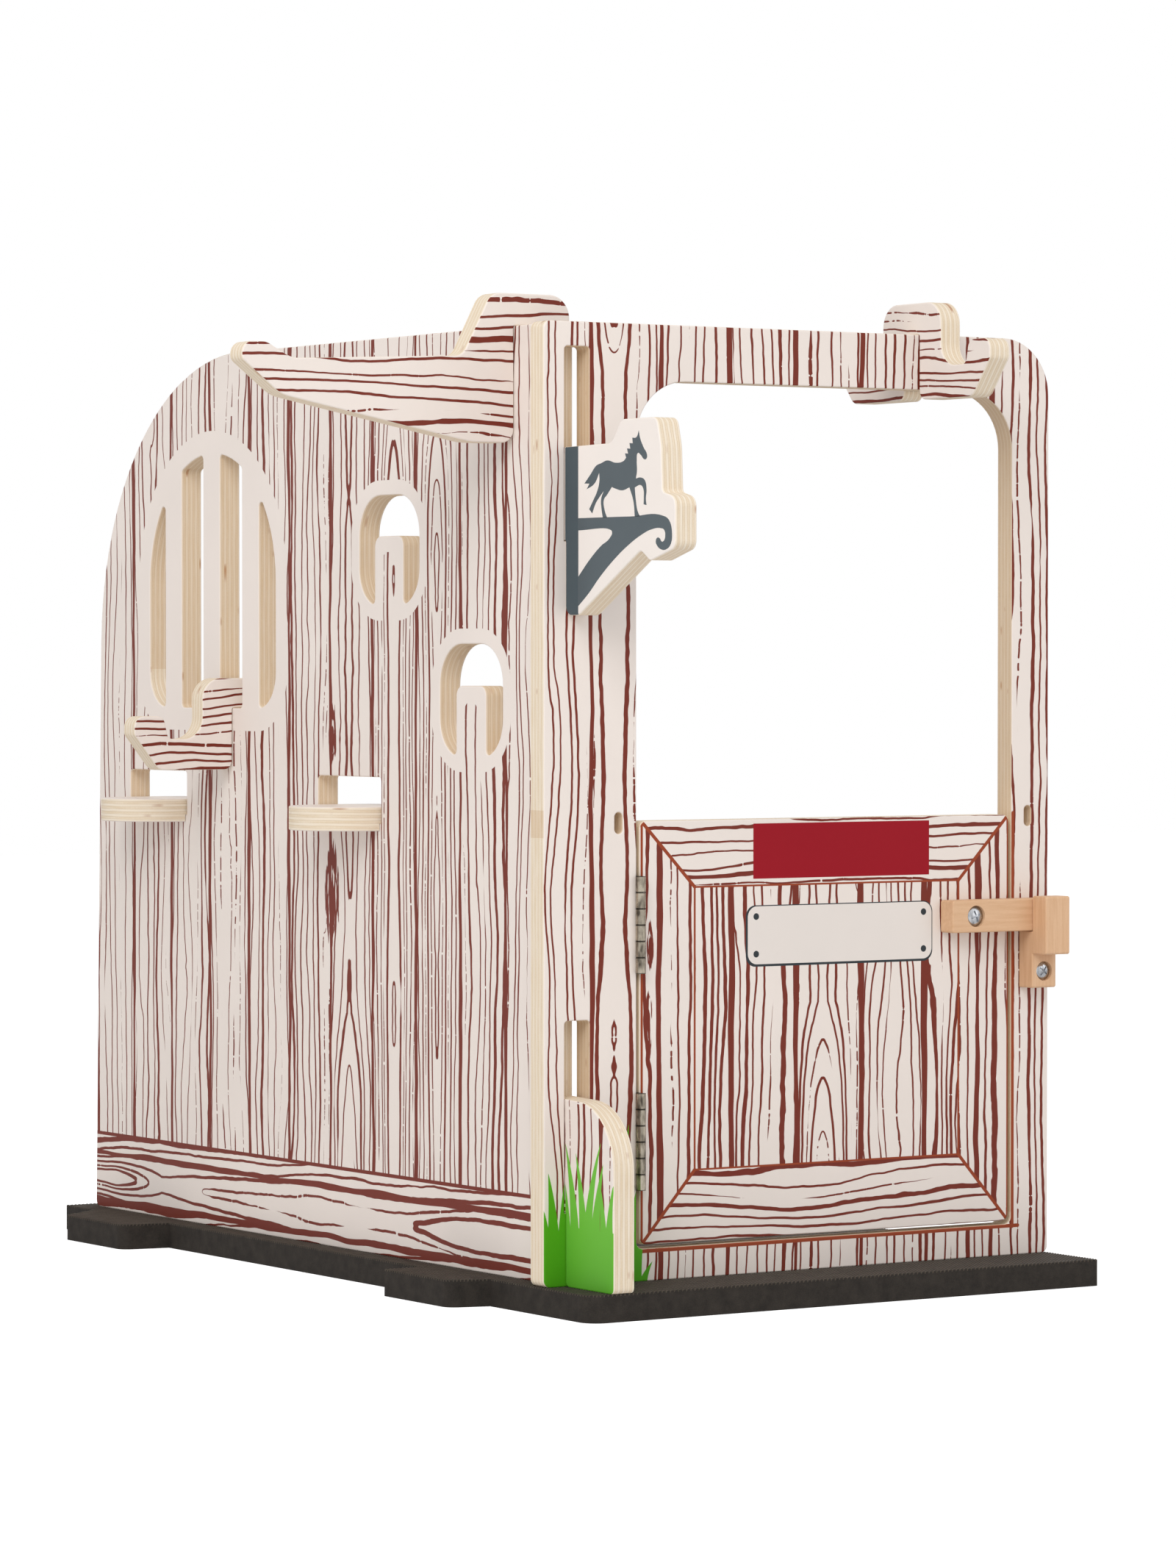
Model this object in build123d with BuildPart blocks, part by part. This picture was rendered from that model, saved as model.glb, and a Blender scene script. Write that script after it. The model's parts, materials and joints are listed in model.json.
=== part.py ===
from build123d import *

import os

os.makedirs("parts", exist_ok=True)

# A wooden toy stable: a front wall with a half door and a side wall with an arched
# window, both cut from one thickness of birch plywood, on a foam mat. The side wall
# hooks through two slots of the front wall, and the hooks, the saddle rack and the
# shelves lift off again.
#
# Frame: millimetres, +Z up, -Y to the front. The origin is the middle of the mat's
# underside. Places on the walls are given from the front wall's left edge, from its
# front face and from the top of the mat.

# Sheet and cutting
sheet = 13.0
cut_corner = 4.0
inside_corner = 2.5
arris = 0.8
seat = 0.3

# Mat
mat_thickness = 14.0
mat_apron = 43.2
mat_rear = 12.5
mat_corner = 10.0

# Jigsaw tabs of the mat: front end, rear end, reach to the left, slant of each end
front_tab = (51.5, 121.0, 21.8, 6.0, 0.0)
rear_tab = (395.5, 487.0, 27.8, 4.5, 20.0)
tab_front_corner = 7.0
tab_rear_corner = 4.0

# Front wall: the doorway stands between two stiles
wall_height = 490.0
hinge_stile = 56.3
doorway_width = 240.1
latch_stile = 24.6
sill_height = 16.7
top_rail = 29.0
wall_top_corner = 30.0
doorway_top_corner = 30.0
lacing_slot_width = 4.8
lacing_slot_length = 11.0
lacing_slot_height = 235.2
lacing_slot_inset = 10.9

# Side wall
side_inset = 12.9
side_foot = 494.2
back_lean = 10.4
crown_radius = 163.0

# Hooked joint between the walls
hook_drop = 37.5
unhook_play = 1.6
slot_outer_play = 0.3
slot_inner_play = 1.9
slot_top_corner = 2.0
lower_slot_bottom = hook_drop
upper_slot_depth = 111.5
upper_slot_bottom = wall_height - upper_slot_depth
notch_corner = 1.0

# Buttress under the lower slot
buttress_reach = 44.4
buttress_height = 96.0
buttress_slope = 2.0
buttress_shoulder = 34.0
buttress_foot_corner = 3.0

# Sign over the doorway: neck and outline, measured forwards from the wall's face and
# upwards from the slot's lower edge
sign_neck = 47.5
sign_rise = 59.9
sign_reach = 100.1
sign_corners = (
    (42.5, 48.3, 8.0),
    (51.5, sign_rise, 6.0),
    (83.5, sign_rise, 5.0),
    (87.3, 45.5, 30.0),
    (88.4, 22.8, 2.5),
    (sign_reach, 20.0, 6.0),
    (sign_reach, -5.0, 5.0),
    (77.5, -11.2, 4.0),
    (69.0, -5.7, 4.0),
    (12.3, -hook_drop, 8.0),
)
sign_heel_corner = 5.0

# Arched window: four lights between three bars
window_centre = 368.3
window_sill = 291.8
window_radius = 72.3
window_spring = 70.4
window_foot_corner = 20.0
bar_width = 19.2
bar_pitch = 44.3
bar_count = 3

# Horseshoe openings: centre along the wall and height of the lower edge
horseshoes = ((174.1, 347.5), (91.0, 268.0))
horseshoe_width = 62.0
horseshoe_height = 58.8
horseshoe_crown = 21.5
horseshoe_heel = 20.0
tongue_width = 29.5
tongue_height = 37.0
tongue_corner = 5.5

# Shelves: half-round boards on both sides of the wall, seated in slots
shelf_places = {"front_shelf": 216.0, "rear_shelf": 431.0}
shelf_width = 65.0
shelf_top = 240.0
shelf_groove = 4.0
shelf_slot_play = 1.0
shelf_slot_top = 255.8

# Door
door_height = 217.3
door_floor_gap = 2.0

# Butt hinges
hinge_length = 50.0
hinge_heights = {"lower": 72.0, "upper": 183.0}
leaf_thickness = 0.85
leaf_slack = 0.3
leaf_width = 12.0
knuckle_radius = 2.6
knuckle_count = 6
knuckle_play = 0.2
knuckle_clearance = 0.4
barrel_offset = 2.3
pin_radius = 1.3
pin_clearance = 0.05
leaf_screw_pitch = 30.0
leaf_screw_radius = 1.4
leaf_screw_head = 2.2
leaf_screw_length = 12.0
screw_clearance = 0.05

# Latch arm, keeper and their screws, placed from the doorway's edge beside them
latch_inset = 32.0
latch_tail = 15.4
latch_end_inset = 1.4
latch_bottom = 174.1
latch_height = 17.2
latch_thickness = 11.2
keeper_inset = 4.9
keeper_width = 16.1
keeper_bottom = 143.5
lip_bottom = 161.7
lip_height = 31.0
lip_thickness = 12.0
beech_edge = 1.2
latch_screw_radius = 2.5
latch_screw_head = 5.0
latch_screw_head_height = 3.2
latch_running = 0.1
keeper_screw_radius = 2.0
keeper_screw_head = 4.5
keeper_screw_head_height = 2.7
keeper_screw_height = 152.4
counterbore_play = 0.7
screw_bite = 11.0
pan_crown = 0.55

# Small hooks that straddle a wall edge
hook_play = 0.4
hook_bump = 25.8
hook_bump_height = 16.7
hook_valley = 17.1
hook_nose_start = 47.5
hook_nose_slant = 2.7
hook_nose_height = 4.4
hook_reach = 68.6
hook_end_height = 10.1
hook_end_taper = 15.6
hook_depth = 34.3
hook_round = 12.0
hook_valley_corner = 4.0
hook_nose_corner = 5.0
hook_tip_corner = 6.0
hook_under_corner = 4.0
hook_heel_corner = 7.0
hook_leg_corner = 5.0
rail_hook_place = 241.0
window_hook_place = 350.1

# Saddle rack: leg depths outside and inside the wall, and the two upper outlines as
# (outwards, up, corner radius) from the middle of the wall's top edge
rack_place = 54.65
rack_depth = 60.2
rack_depth_corner = 7.0
rack_inner_depth = 32.0
rack_inner_corner = 5.0
rack_under_corners = (
    (-166.5, -12.6, 6.0),
    (-166.5, -21.5, 4.0),
    (-144.0, -38.9, 20.0),
    (-33.0, -rack_depth, 40.0),
)
rack_top_corners = (
    (27.2, -rack_inner_depth, 10.0),
    (27.2, 16.5, hook_round),
    (-20.5, 16.5, 9.0),
    (-37.6, -16.2, 8.0),
    (-138.0, -20.4, 15.0),
    (-152.5, -12.6, 8.0),
)

# Derived sizes and places
mat_depth = mat_apron + sheet + seat + side_foot + mat_rear
front_face = mat_apron - mat_depth / 2
doorway_right = hinge_stile + doorway_width
front_width = doorway_right + latch_stile
left_edge = -front_width / 2
side_outer = left_edge + side_inset
side_middle = side_outer + sheet / 2
side_front = sheet + seat
side_end = side_front + side_foot
door_gap = 2 * leaf_thickness + leaf_slack
door_bottom = sill_height + door_floor_gap
hinge_x = left_edge + hinge_stile + door_gap / 2
hinge_y = front_face - barrel_offset
shelf_thickness = sheet
shelf_seat = shelf_top - shelf_thickness + shelf_groove
latch_pivot = doorway_right - latch_inset
latch_left = latch_pivot - latch_tail
keeper_left = doorway_right + keeper_inset
latch_right = keeper_left + keeper_width - latch_end_inset
latch_middle = latch_bottom + latch_height / 2
latch_front = seat + latch_thickness
keeper_depth = latch_front + seat
knuckle_pitch = hinge_length / knuckle_count

# Workplanes: the front wall seen from the front and the side wall seen from outside,
# both with their zero at the wall's lower front corner
front_plane = Plane(origin=(left_edge, front_face, mat_thickness), x_dir=(1, 0, 0), z_dir=(0, -1, 0))
side_plane = Plane(origin=(side_outer, front_face, mat_thickness), x_dir=(0, 1, 0), z_dir=(1, 0, 0))
mat_plane = Plane(origin=(left_edge, front_face, 0))


def closed_outline(corners):
    """Closed outline through (x, y, radius) corners, for use inside a BuildLine."""
    FilletPolyline(*[(x, y) for x, y, _ in corners], radius=[r for _, _, r in corners], close=True)


def rectangle_corners(left, right, bottom, top, lower_radius, upper_radius):
    """Four corners of a rectangle with one radius below and one above."""
    return (
        (left, bottom, lower_radius),
        (right, bottom, lower_radius),
        (right, top, upper_radius),
        (left, top, upper_radius),
    )


def mat_tab(front, rear, reach, front_slant, rear_slant):
    """Corners of one jigsaw tab on the mat's left edge, from the rear to the front."""
    return (
        (0, rear, 0),
        (-reach, rear - rear_slant, tab_rear_corner if rear_slant else 0),
        (-reach, front + front_slant, tab_front_corner),
        (0, front, 0),
    )


def screw_places(x, outwards):
    """Planes of the hinge screws on one leaf, facing out of the wood along X."""
    places = []
    for height in hinge_heights.values():
        for side in (-1, 1):
            centre = (x, front_face + leaf_width / 2, mat_thickness + height + side * leaf_screw_pitch / 2)
            places.append(Plane(origin=centre, x_dir=(0, 1, 0), z_dir=(outwards, 0, 0)))
    return places


frame_screw_places = screw_places(left_edge + hinge_stile, 1)
door_screw_places = screw_places(left_edge + hinge_stile + door_gap, -1)
latch_place = Plane(
    origin=(left_edge + latch_pivot, front_face, mat_thickness + latch_middle), z_dir=(0, -1, 0)
)
keeper_screw_place = Plane(
    origin=(left_edge + keeper_left + keeper_width / 2, front_face, mat_thickness + keeper_screw_height),
    z_dir=(0, -1, 0),
)

# Mat with two jigsaw tabs
with BuildPart() as mat:
    with BuildSketch(mat_plane):
        with BuildLine():
            closed_outline(
                (
                    (0, -mat_apron, mat_corner),
                    (front_width, -mat_apron, 0),
                    (front_width, mat_depth - mat_apron, 0),
                    (0, mat_depth - mat_apron, 0),
                )
                + mat_tab(*rear_tab)
                + mat_tab(*front_tab)
            )
        make_face()
    extrude(amount=mat_thickness)
mat.part.label = "mat"
export_step(mat.part, "parts/mat.step")

# Front wall: doorway, two tall slots for the side wall's tabs and two lacing slots
slot_left = side_inset - slot_outer_play
slot_right = side_inset + sheet + slot_inner_play
with BuildPart() as front_wall:
    with BuildSketch(front_plane):
        with BuildLine():
            closed_outline(
                (
                    (0, 0, cut_corner),
                    (front_width, 0, cut_corner),
                    (front_width, wall_height, wall_top_corner),
                    (0, wall_height, cut_corner),
                )
            )
        make_face()
        with BuildLine():
            closed_outline(
                rectangle_corners(
                    hinge_stile,
                    doorway_right,
                    sill_height,
                    wall_height - top_rail,
                    cut_corner,
                    doorway_top_corner,
                )
            )
        make_face(mode=Mode.SUBTRACT)
        for bottom, height in (
            (lower_slot_bottom, buttress_height),
            (upper_slot_bottom, sign_rise + hook_drop),
        ):
            with BuildLine():
                closed_outline(
                    rectangle_corners(
                        slot_left,
                        slot_right,
                        bottom,
                        bottom + height + unhook_play,
                        slot_outer_play,
                        slot_top_corner,
                    )
                )
            make_face(mode=Mode.SUBTRACT)
        with Locations(
            (hinge_stile - lacing_slot_inset, lacing_slot_height),
            (doorway_right + lacing_slot_inset, lacing_slot_height),
        ):
            SlotOverall(lacing_slot_length, lacing_slot_width, rotation=90, mode=Mode.SUBTRACT)
    extrude(amount=-sheet)
    faces_of_sheet = front_wall.faces().filter_by(Axis.Y)
    fillet(faces_of_sheet.edges(), arris)
    with Locations(*frame_screw_places):
        Hole(leaf_screw_radius, depth=leaf_screw_length)
    with Locations(keeper_screw_place):
        Hole(keeper_screw_radius + screw_clearance, depth=screw_bite)
front_wall.part.label = "front_wall"
export_step(front_wall.part, "parts/front_wall.step")

# Side wall: one sheet with the sign and the buttress as hooked tabs on its front edge
neck_top = upper_slot_bottom + sign_neck
buttress_corners = (
    (side_front, buttress_height, 0),
    (-buttress_reach, buttress_height - buttress_slope, buttress_shoulder),
    (-buttress_reach, 0, buttress_foot_corner),
    (-seat, 0, buttress_foot_corner),
    (-seat, lower_slot_bottom + seat, notch_corner),
    (side_front, lower_slot_bottom + seat, notch_corner),
)
sign_outline = (
    ((side_front, neck_top, 0),)
    + tuple((-forward, upper_slot_bottom + up, radius) for forward, up, radius in sign_corners)
    + (
        (-seat, upper_slot_bottom - hook_drop, sign_heel_corner),
        (-seat, upper_slot_bottom + seat, notch_corner),
        (side_front, upper_slot_bottom + seat, notch_corner),
    )
)
with BuildPart() as side_wall:
    with BuildSketch(side_plane):
        with BuildLine():
            closed_outline(
                (
                    (side_front, 0, cut_corner),
                    (side_end, 0, cut_corner),
                    (side_end - back_lean, wall_height, crown_radius),
                    (side_front, wall_height, cut_corner),
                )
                + sign_outline
                + buttress_corners
            )
        make_face()
    extrude(amount=sheet)

    # Four lights of the arched window
    arch_height = window_sill + window_spring
    bar_middles = [window_centre + (i - (bar_count - 1) / 2) * bar_pitch for i in range(bar_count)]
    with BuildSketch(side_plane) as lights:
        with BuildLine():
            CenterArc((window_centre, arch_height), window_radius, 0, 180)
            FilletPolyline(
                (window_centre - window_radius, arch_height),
                (window_centre - window_radius, window_sill),
                (window_centre + window_radius, window_sill),
                (window_centre + window_radius, arch_height),
                radius=window_foot_corner,
            )
        make_face()
        with Locations(*[(middle, arch_height) for middle in bar_middles]):
            Rectangle(bar_width, 3 * window_radius, mode=Mode.SUBTRACT)
        bar_ends = [
            corner
            for corner in lights.vertices()
            if any(abs(abs(corner.X - middle) - bar_width / 2) < 0.01 for middle in bar_middles)
        ]
        fillet(bar_ends, inside_corner)
    extrude(amount=sheet, mode=Mode.SUBTRACT)

    # Horseshoe openings round a tongue
    for centre, bottom in horseshoes:
        with BuildSketch(side_plane) as horseshoe:
            with BuildLine():
                closed_outline(
                    rectangle_corners(
                        centre - horseshoe_width / 2,
                        centre + horseshoe_width / 2,
                        bottom,
                        bottom + horseshoe_height,
                        horseshoe_heel,
                        horseshoe_crown,
                    )
                )
            make_face()
            with BuildLine():
                closed_outline(
                    rectangle_corners(
                        centre - tongue_width / 2,
                        centre + tongue_width / 2,
                        bottom - tongue_height,
                        bottom + tongue_height,
                        0,
                        tongue_corner,
                    )
                )
            make_face(mode=Mode.SUBTRACT)
            heels = [
                corner
                for corner in horseshoe.vertices()
                if abs(abs(corner.X - centre) - tongue_width / 2) < 0.01
                and corner.Y < bottom + horseshoe_heel / 2
            ]
            fillet(heels, inside_corner)
        extrude(amount=sheet, mode=Mode.SUBTRACT)

    # Slots that carry the shelves
    with BuildSketch(side_plane):
        for centre in shelf_places.values():
            with BuildLine():
                closed_outline(
                    rectangle_corners(
                        centre - shelf_width / 2 - shelf_slot_play,
                        centre + shelf_width / 2 + shelf_slot_play,
                        shelf_seat,
                        shelf_slot_top,
                        shelf_slot_play,
                        inside_corner,
                    )
                )
            make_face()
    extrude(amount=sheet, mode=Mode.SUBTRACT)
    fillet(side_wall.faces().filter_by(Axis.X).edges(), arris)
side_wall.part.label = "side_wall"
export_step(side_wall.part, "parts/side_wall.step")

# Half door, flush in the doorway
door_left = hinge_stile + door_gap
door_right = doorway_right - door_gap
with BuildPart() as door:
    with BuildSketch(front_plane):
        with BuildLine():
            closed_outline(
                rectangle_corners(
                    door_left,
                    door_right,
                    door_bottom,
                    door_bottom + door_height,
                    cut_corner,
                    cut_corner,
                )
            )
        make_face()
    extrude(amount=-sheet)
    fillet(door.faces().filter_by(Axis.Y).edges(), arris)
    with Locations(*door_screw_places):
        Hole(leaf_screw_radius, depth=leaf_screw_length)
    with Locations(latch_place):
        Hole(latch_screw_radius + screw_clearance, depth=screw_bite)
door.part.label = "door"
export_step(door.part, "parts/door.step")


def hinge_leaf(label, height, side):
    """One leaf of a butt hinge with its knuckles.

    side is -1 for the leaf on the front wall, which has the lowest knuckle, and 1 for
    the leaf on the door. height is that of the hinge's middle above the mat.
    """
    foot = mat_thickness + height - hinge_length / 2
    plate_middle = hinge_x + side * (leaf_slack + leaf_thickness) / 2
    first = 0 if side < 0 else 1
    own = [foot + i * knuckle_pitch for i in range(knuckle_count) if i % 2 == first]
    other = [foot + i * knuckle_pitch for i in range(knuckle_count) if i % 2 != first]
    plate_depth = leaf_width + barrel_offset
    plate_face = hinge_x + side * leaf_slack / 2
    with BuildPart() as leaf:
        with BuildSketch(Plane.XY.offset(foot)):
            with Locations((plate_middle, hinge_y + plate_depth / 2)):
                Rectangle(leaf_thickness, plate_depth)
        extrude(amount=hinge_length)
        with Locations(*[(hinge_x, hinge_y, z - knuckle_play / 2) for z in other]):
            Cylinder(
                knuckle_radius + knuckle_clearance,
                knuckle_pitch + knuckle_play,
                align=(Align.CENTER, Align.CENTER, Align.MIN),
                mode=Mode.SUBTRACT,
            )
        with Locations(*[(hinge_x, hinge_y, z + knuckle_play / 2) for z in own]):
            Cylinder(
                knuckle_radius,
                knuckle_pitch - knuckle_play,
                align=(Align.CENTER, Align.CENTER, Align.MIN),
            )
        with Locations((hinge_x, hinge_y, foot)):
            Cylinder(
                pin_radius + pin_clearance,
                hinge_length,
                align=(Align.CENTER, Align.CENTER, Align.MIN),
                mode=Mode.SUBTRACT,
            )
        middle_of_wood = front_face + leaf_width / 2
        with Locations(
            *[
                Plane(
                    origin=(plate_face, middle_of_wood, mat_thickness + height + end * leaf_screw_pitch / 2),
                    x_dir=(0, 1, 0),
                    z_dir=(-side, 0, 0),
                )
                for end in (-1, 1)
            ]
        ):
            CounterSinkHole(
                leaf_screw_radius + screw_clearance,
                leaf_screw_head + screw_clearance,
                depth=2 * leaf_thickness,
                counter_sink_angle=90,
            )
    leaf.part.label = label
    export_step(leaf.part, f"parts/{label}.step")


def hinge_pin(label, height):
    """Plain pin through the knuckles of one hinge, with broken ends."""
    with BuildPart() as pin:
        with Locations((hinge_x, hinge_y, mat_thickness + height)):
            Cylinder(pin_radius, hinge_length)
        chamfer(pin.edges(), pin_radius / 4)
    pin.part.label = label
    export_step(pin.part, f"parts/{label}.step")


for place, height in hinge_heights.items():
    hinge_leaf(f"{place}_hinge_wall_leaf", height, -1)
    hinge_leaf(f"{place}_hinge_door_leaf", height, 1)
    hinge_pin(f"{place}_hinge_pin", height)


def leaf_screws(label, places):
    """Countersunk screws of the hinge leaves, one solid at each place."""
    with BuildPart() as screws:
        for place in places:
            head_face = place.offset(leaf_thickness)
            with BuildSketch(head_face):
                Circle(leaf_screw_head)
            with BuildSketch(head_face.offset(leaf_screw_radius - leaf_screw_head)):
                Circle(leaf_screw_radius)
            loft()
            with BuildSketch(head_face):
                Circle(leaf_screw_radius)
            extrude(amount=seat - leaf_screw_length - leaf_thickness)
    screws.part.label = label
    export_step(screws.part, f"parts/{label}.step")


leaf_screws("wall_leaf_screws", frame_screw_places)
leaf_screws("door_leaf_screws", door_screw_places)


def pan_head_screw(label, place, rest, head_radius, head_height, shank_radius):
    """Pan-head screw standing on a plane of the wood, its head's underside at rest."""
    with BuildPart() as screw:
        with BuildSketch(place.offset(rest)):
            Circle(head_radius)
        extrude(amount=head_height)
        fillet(screw.faces().sort_by(Axis.Y)[0].edges(), head_height * pan_crown)
        with BuildSketch(place.offset(rest)):
            Circle(shank_radius)
        extrude(amount=-rest - screw_bite + seat)
    screw.part.label = label
    export_step(screw.part, f"parts/{label}.step")


# Latch arm, turning on a screw in the door
with BuildPart() as latch_arm:
    with BuildSketch(front_plane.offset(seat)):
        with BuildLine():
            closed_outline(
                rectangle_corners(
                    latch_left,
                    latch_right,
                    latch_bottom,
                    latch_bottom + latch_height,
                    beech_edge,
                    beech_edge,
                )
            )
        make_face()
    extrude(amount=latch_thickness)
    fillet(latch_arm.faces().filter_by(Axis.Y).edges(), arris)
    with Locations(latch_place.offset(latch_front)):
        CounterBoreHole(
            latch_screw_radius + latch_running,
            latch_screw_head + counterbore_play,
            latch_screw_head_height + seat,
        )
latch_arm.part.label = "latch_arm"
export_step(latch_arm.part, "parts/latch_arm.step")
pan_head_screw(
    "latch_screw",
    latch_place,
    latch_front - latch_screw_head_height,
    latch_screw_head,
    latch_screw_head_height,
    latch_screw_radius,
)

# Keeper: a stepped beech block, its lip standing in front of the arm's end
with BuildPart() as latch_keeper:
    with BuildSketch(side_plane.offset(keeper_left - side_inset)):
        with BuildLine():
            closed_outline(
                (
                    (0, keeper_bottom, 0),
                    (0, latch_bottom - seat, 0),
                    (-keeper_depth, latch_bottom - seat, 0),
                    (-keeper_depth, lip_bottom + lip_height, beech_edge),
                    (-keeper_depth - lip_thickness, lip_bottom + lip_height, beech_edge),
                    (-keeper_depth - lip_thickness, lip_bottom, beech_edge),
                    (-keeper_depth, lip_bottom, 0),
                    (-keeper_depth, keeper_bottom, beech_edge),
                )
            )
        make_face()
    extrude(amount=keeper_width)
    fillet(latch_keeper.faces().filter_by(Axis.X).edges(), arris)
    with Locations(keeper_screw_place.offset(keeper_depth)):
        CounterBoreHole(
            keeper_screw_radius + screw_clearance,
            keeper_screw_head + counterbore_play,
            keeper_screw_head_height + seat,
        )
latch_keeper.part.label = "latch_keeper"
export_step(latch_keeper.part, "parts/latch_keeper.step")
pan_head_screw(
    "keeper_screw",
    keeper_screw_place,
    keeper_depth - keeper_screw_head_height - seat,
    keeper_screw_head,
    keeper_screw_head_height,
    keeper_screw_radius,
)


def small_hook(label, plane):
    """Double hook that straddles a wall edge; the plane's origin is the edge's middle."""
    notch = sheet / 2 + hook_play
    with BuildPart() as hook:
        with BuildSketch(plane):
            with BuildLine():
                FilletPolyline(
                    (0, hook_bump_height),
                    (hook_bump, hook_bump_height),
                    (hook_bump, -hook_valley),
                    (hook_nose_start, -hook_valley),
                    (hook_nose_start + hook_nose_slant, -hook_nose_height),
                    (hook_reach, -hook_nose_height),
                    (hook_reach, -hook_nose_height - hook_end_height),
                    (hook_reach - hook_end_taper, -hook_depth),
                    (notch, -hook_depth),
                    (notch, 0),
                    (0, 0),
                    radius=(
                        hook_round,
                        hook_round,
                        hook_valley_corner,
                        hook_nose_corner,
                        hook_tip_corner,
                        hook_under_corner,
                        hook_heel_corner,
                        hook_leg_corner,
                        notch_corner,
                    ),
                )
                mirror(about=Plane.YZ)
            make_face()
        extrude(amount=sheet / 2, both=True)
        fillet(hook.faces().filter_by(Axis(plane.origin, plane.z_dir)).edges(), arris)
    hook.part.label = label
    export_step(hook.part, f"parts/{label}.step")


small_hook(
    "rail_hook",
    Plane(
        origin=(left_edge + rail_hook_place, front_face + sheet / 2, mat_thickness + wall_height),
        x_dir=(0, 1, 0),
        z_dir=(1, 0, 0),
    ),
)
small_hook(
    "window_hook",
    Plane(
        origin=(side_middle, front_face + window_hook_place, mat_thickness + window_sill),
        x_dir=(1, 0, 0),
        z_dir=(0, -1, 0),
    ),
)

# Saddle rack: the long arm outside the side wall and the short leg inside it
rack_notch = sheet / 2 + hook_play
rack_plane = Plane(
    origin=(side_middle, front_face + rack_place, mat_thickness + wall_height),
    x_dir=(1, 0, 0),
    z_dir=(0, -1, 0),
)
with BuildPart() as saddle_rack:
    with BuildSketch(rack_plane):
        with BuildLine():
            closed_outline(
                rack_under_corners
                + (
                    (-rack_notch, -rack_depth, rack_depth_corner),
                    (-rack_notch, 0, notch_corner),
                    (rack_notch, 0, notch_corner),
                    (rack_notch, -rack_inner_depth, rack_inner_corner),
                )
                + rack_top_corners
            )
        make_face()
    extrude(amount=sheet / 2, both=True)
    fillet(saddle_rack.faces().filter_by(Axis.Y).edges(), arris)
saddle_rack.part.label = "saddle_rack"
export_step(saddle_rack.part, "parts/saddle_rack.step")


def shelf(label, centre):
    """Board with round ends, grooved underneath where it drops over its slot's edge."""
    underside = mat_thickness + shelf_top - shelf_thickness
    with BuildPart() as board:
        with BuildSketch(Plane.XY.offset(underside)):
            with Locations((side_middle, front_face + centre)):
                SlotCenterToCenter(sheet, shelf_width)
        extrude(amount=shelf_thickness)
        fillet(board.faces().filter_by(Axis.Z).edges(), arris)
        with Locations((side_middle, front_face + centre, underside)):
            Box(
                sheet + 2 * seat,
                shelf_width,
                shelf_groove,
                align=(Align.CENTER, Align.CENTER, Align.MIN),
                mode=Mode.SUBTRACT,
            )
    board.part.label = label
    export_step(board.part, f"parts/{label}.step")


for name, centre in shelf_places.items():
    shelf(name, centre)
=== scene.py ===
"""Wooden toy stable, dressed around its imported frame.

The walls, the door and the hung-in hooks are birch plywood with a printed board
pattern; the latch is beech, the hinges and screws are plated steel and the stable
stands on a ribbed foam mat. Sizes below are millimetres, and places are counted from
the front wall's lower left front corner. MM turns them into Blender's metres.
"""

import json
import logging
import math
from dataclasses import dataclass, field
from enum import Enum
from typing import Callable, Iterable, Sequence

import bmesh
import bpy
from mathutils import Matrix, Vector

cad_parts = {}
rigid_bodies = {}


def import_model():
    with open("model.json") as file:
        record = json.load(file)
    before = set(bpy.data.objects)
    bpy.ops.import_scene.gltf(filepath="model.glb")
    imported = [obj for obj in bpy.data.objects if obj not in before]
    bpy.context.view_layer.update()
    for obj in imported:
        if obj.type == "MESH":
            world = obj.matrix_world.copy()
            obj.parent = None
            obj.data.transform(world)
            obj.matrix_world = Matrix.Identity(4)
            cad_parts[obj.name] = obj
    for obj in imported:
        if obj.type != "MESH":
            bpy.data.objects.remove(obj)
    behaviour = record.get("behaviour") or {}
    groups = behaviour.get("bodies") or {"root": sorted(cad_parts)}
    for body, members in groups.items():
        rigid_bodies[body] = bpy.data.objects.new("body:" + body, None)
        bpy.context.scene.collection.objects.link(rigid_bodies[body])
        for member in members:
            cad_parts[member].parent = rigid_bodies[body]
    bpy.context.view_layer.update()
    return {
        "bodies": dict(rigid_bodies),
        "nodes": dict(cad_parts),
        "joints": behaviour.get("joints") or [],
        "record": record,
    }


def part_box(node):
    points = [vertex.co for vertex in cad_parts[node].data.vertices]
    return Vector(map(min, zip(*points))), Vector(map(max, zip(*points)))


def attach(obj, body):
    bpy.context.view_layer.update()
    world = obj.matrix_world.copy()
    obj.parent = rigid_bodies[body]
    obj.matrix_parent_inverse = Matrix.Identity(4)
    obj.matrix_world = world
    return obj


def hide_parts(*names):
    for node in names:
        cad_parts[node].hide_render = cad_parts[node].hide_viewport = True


logging.basicConfig(level=logging.INFO, format="%(message)s")
log = logging.getLogger("stable")

MM = 0.001
CORNER = Vector((-160.5, -238.4, 14.0))
SHEET = 13.0
PLY_LAYERS = 9

Socket = bpy.types.NodeSocket
Point = tuple[float, float]
Rounded = tuple[Point, float]
Colour = tuple[float, float, float, float]


def place(x: float, y: float, z: float) -> Vector:
    """Turn a place in millimetres from the front wall's corner into the frame's metres."""
    return (Vector((x, y, z)) + CORNER) * MM


def linear(red: int, green: int, blue: int) -> Colour:
    """Turn a display colour of 0 to 255 into the linear colour that a shader takes.

    Args:
        red: Red channel.
        green: Green channel.
        blue: Blue channel.

    Returns:
        The linear channels and a full alpha.
    """
    channels = []
    for value in (red / 255, green / 255, blue / 255):
        channels.append(value / 12.92 if value <= 0.04045 else ((value + 0.055) / 1.055) ** 2.4)
    return (*channels, 1.0)


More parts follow.
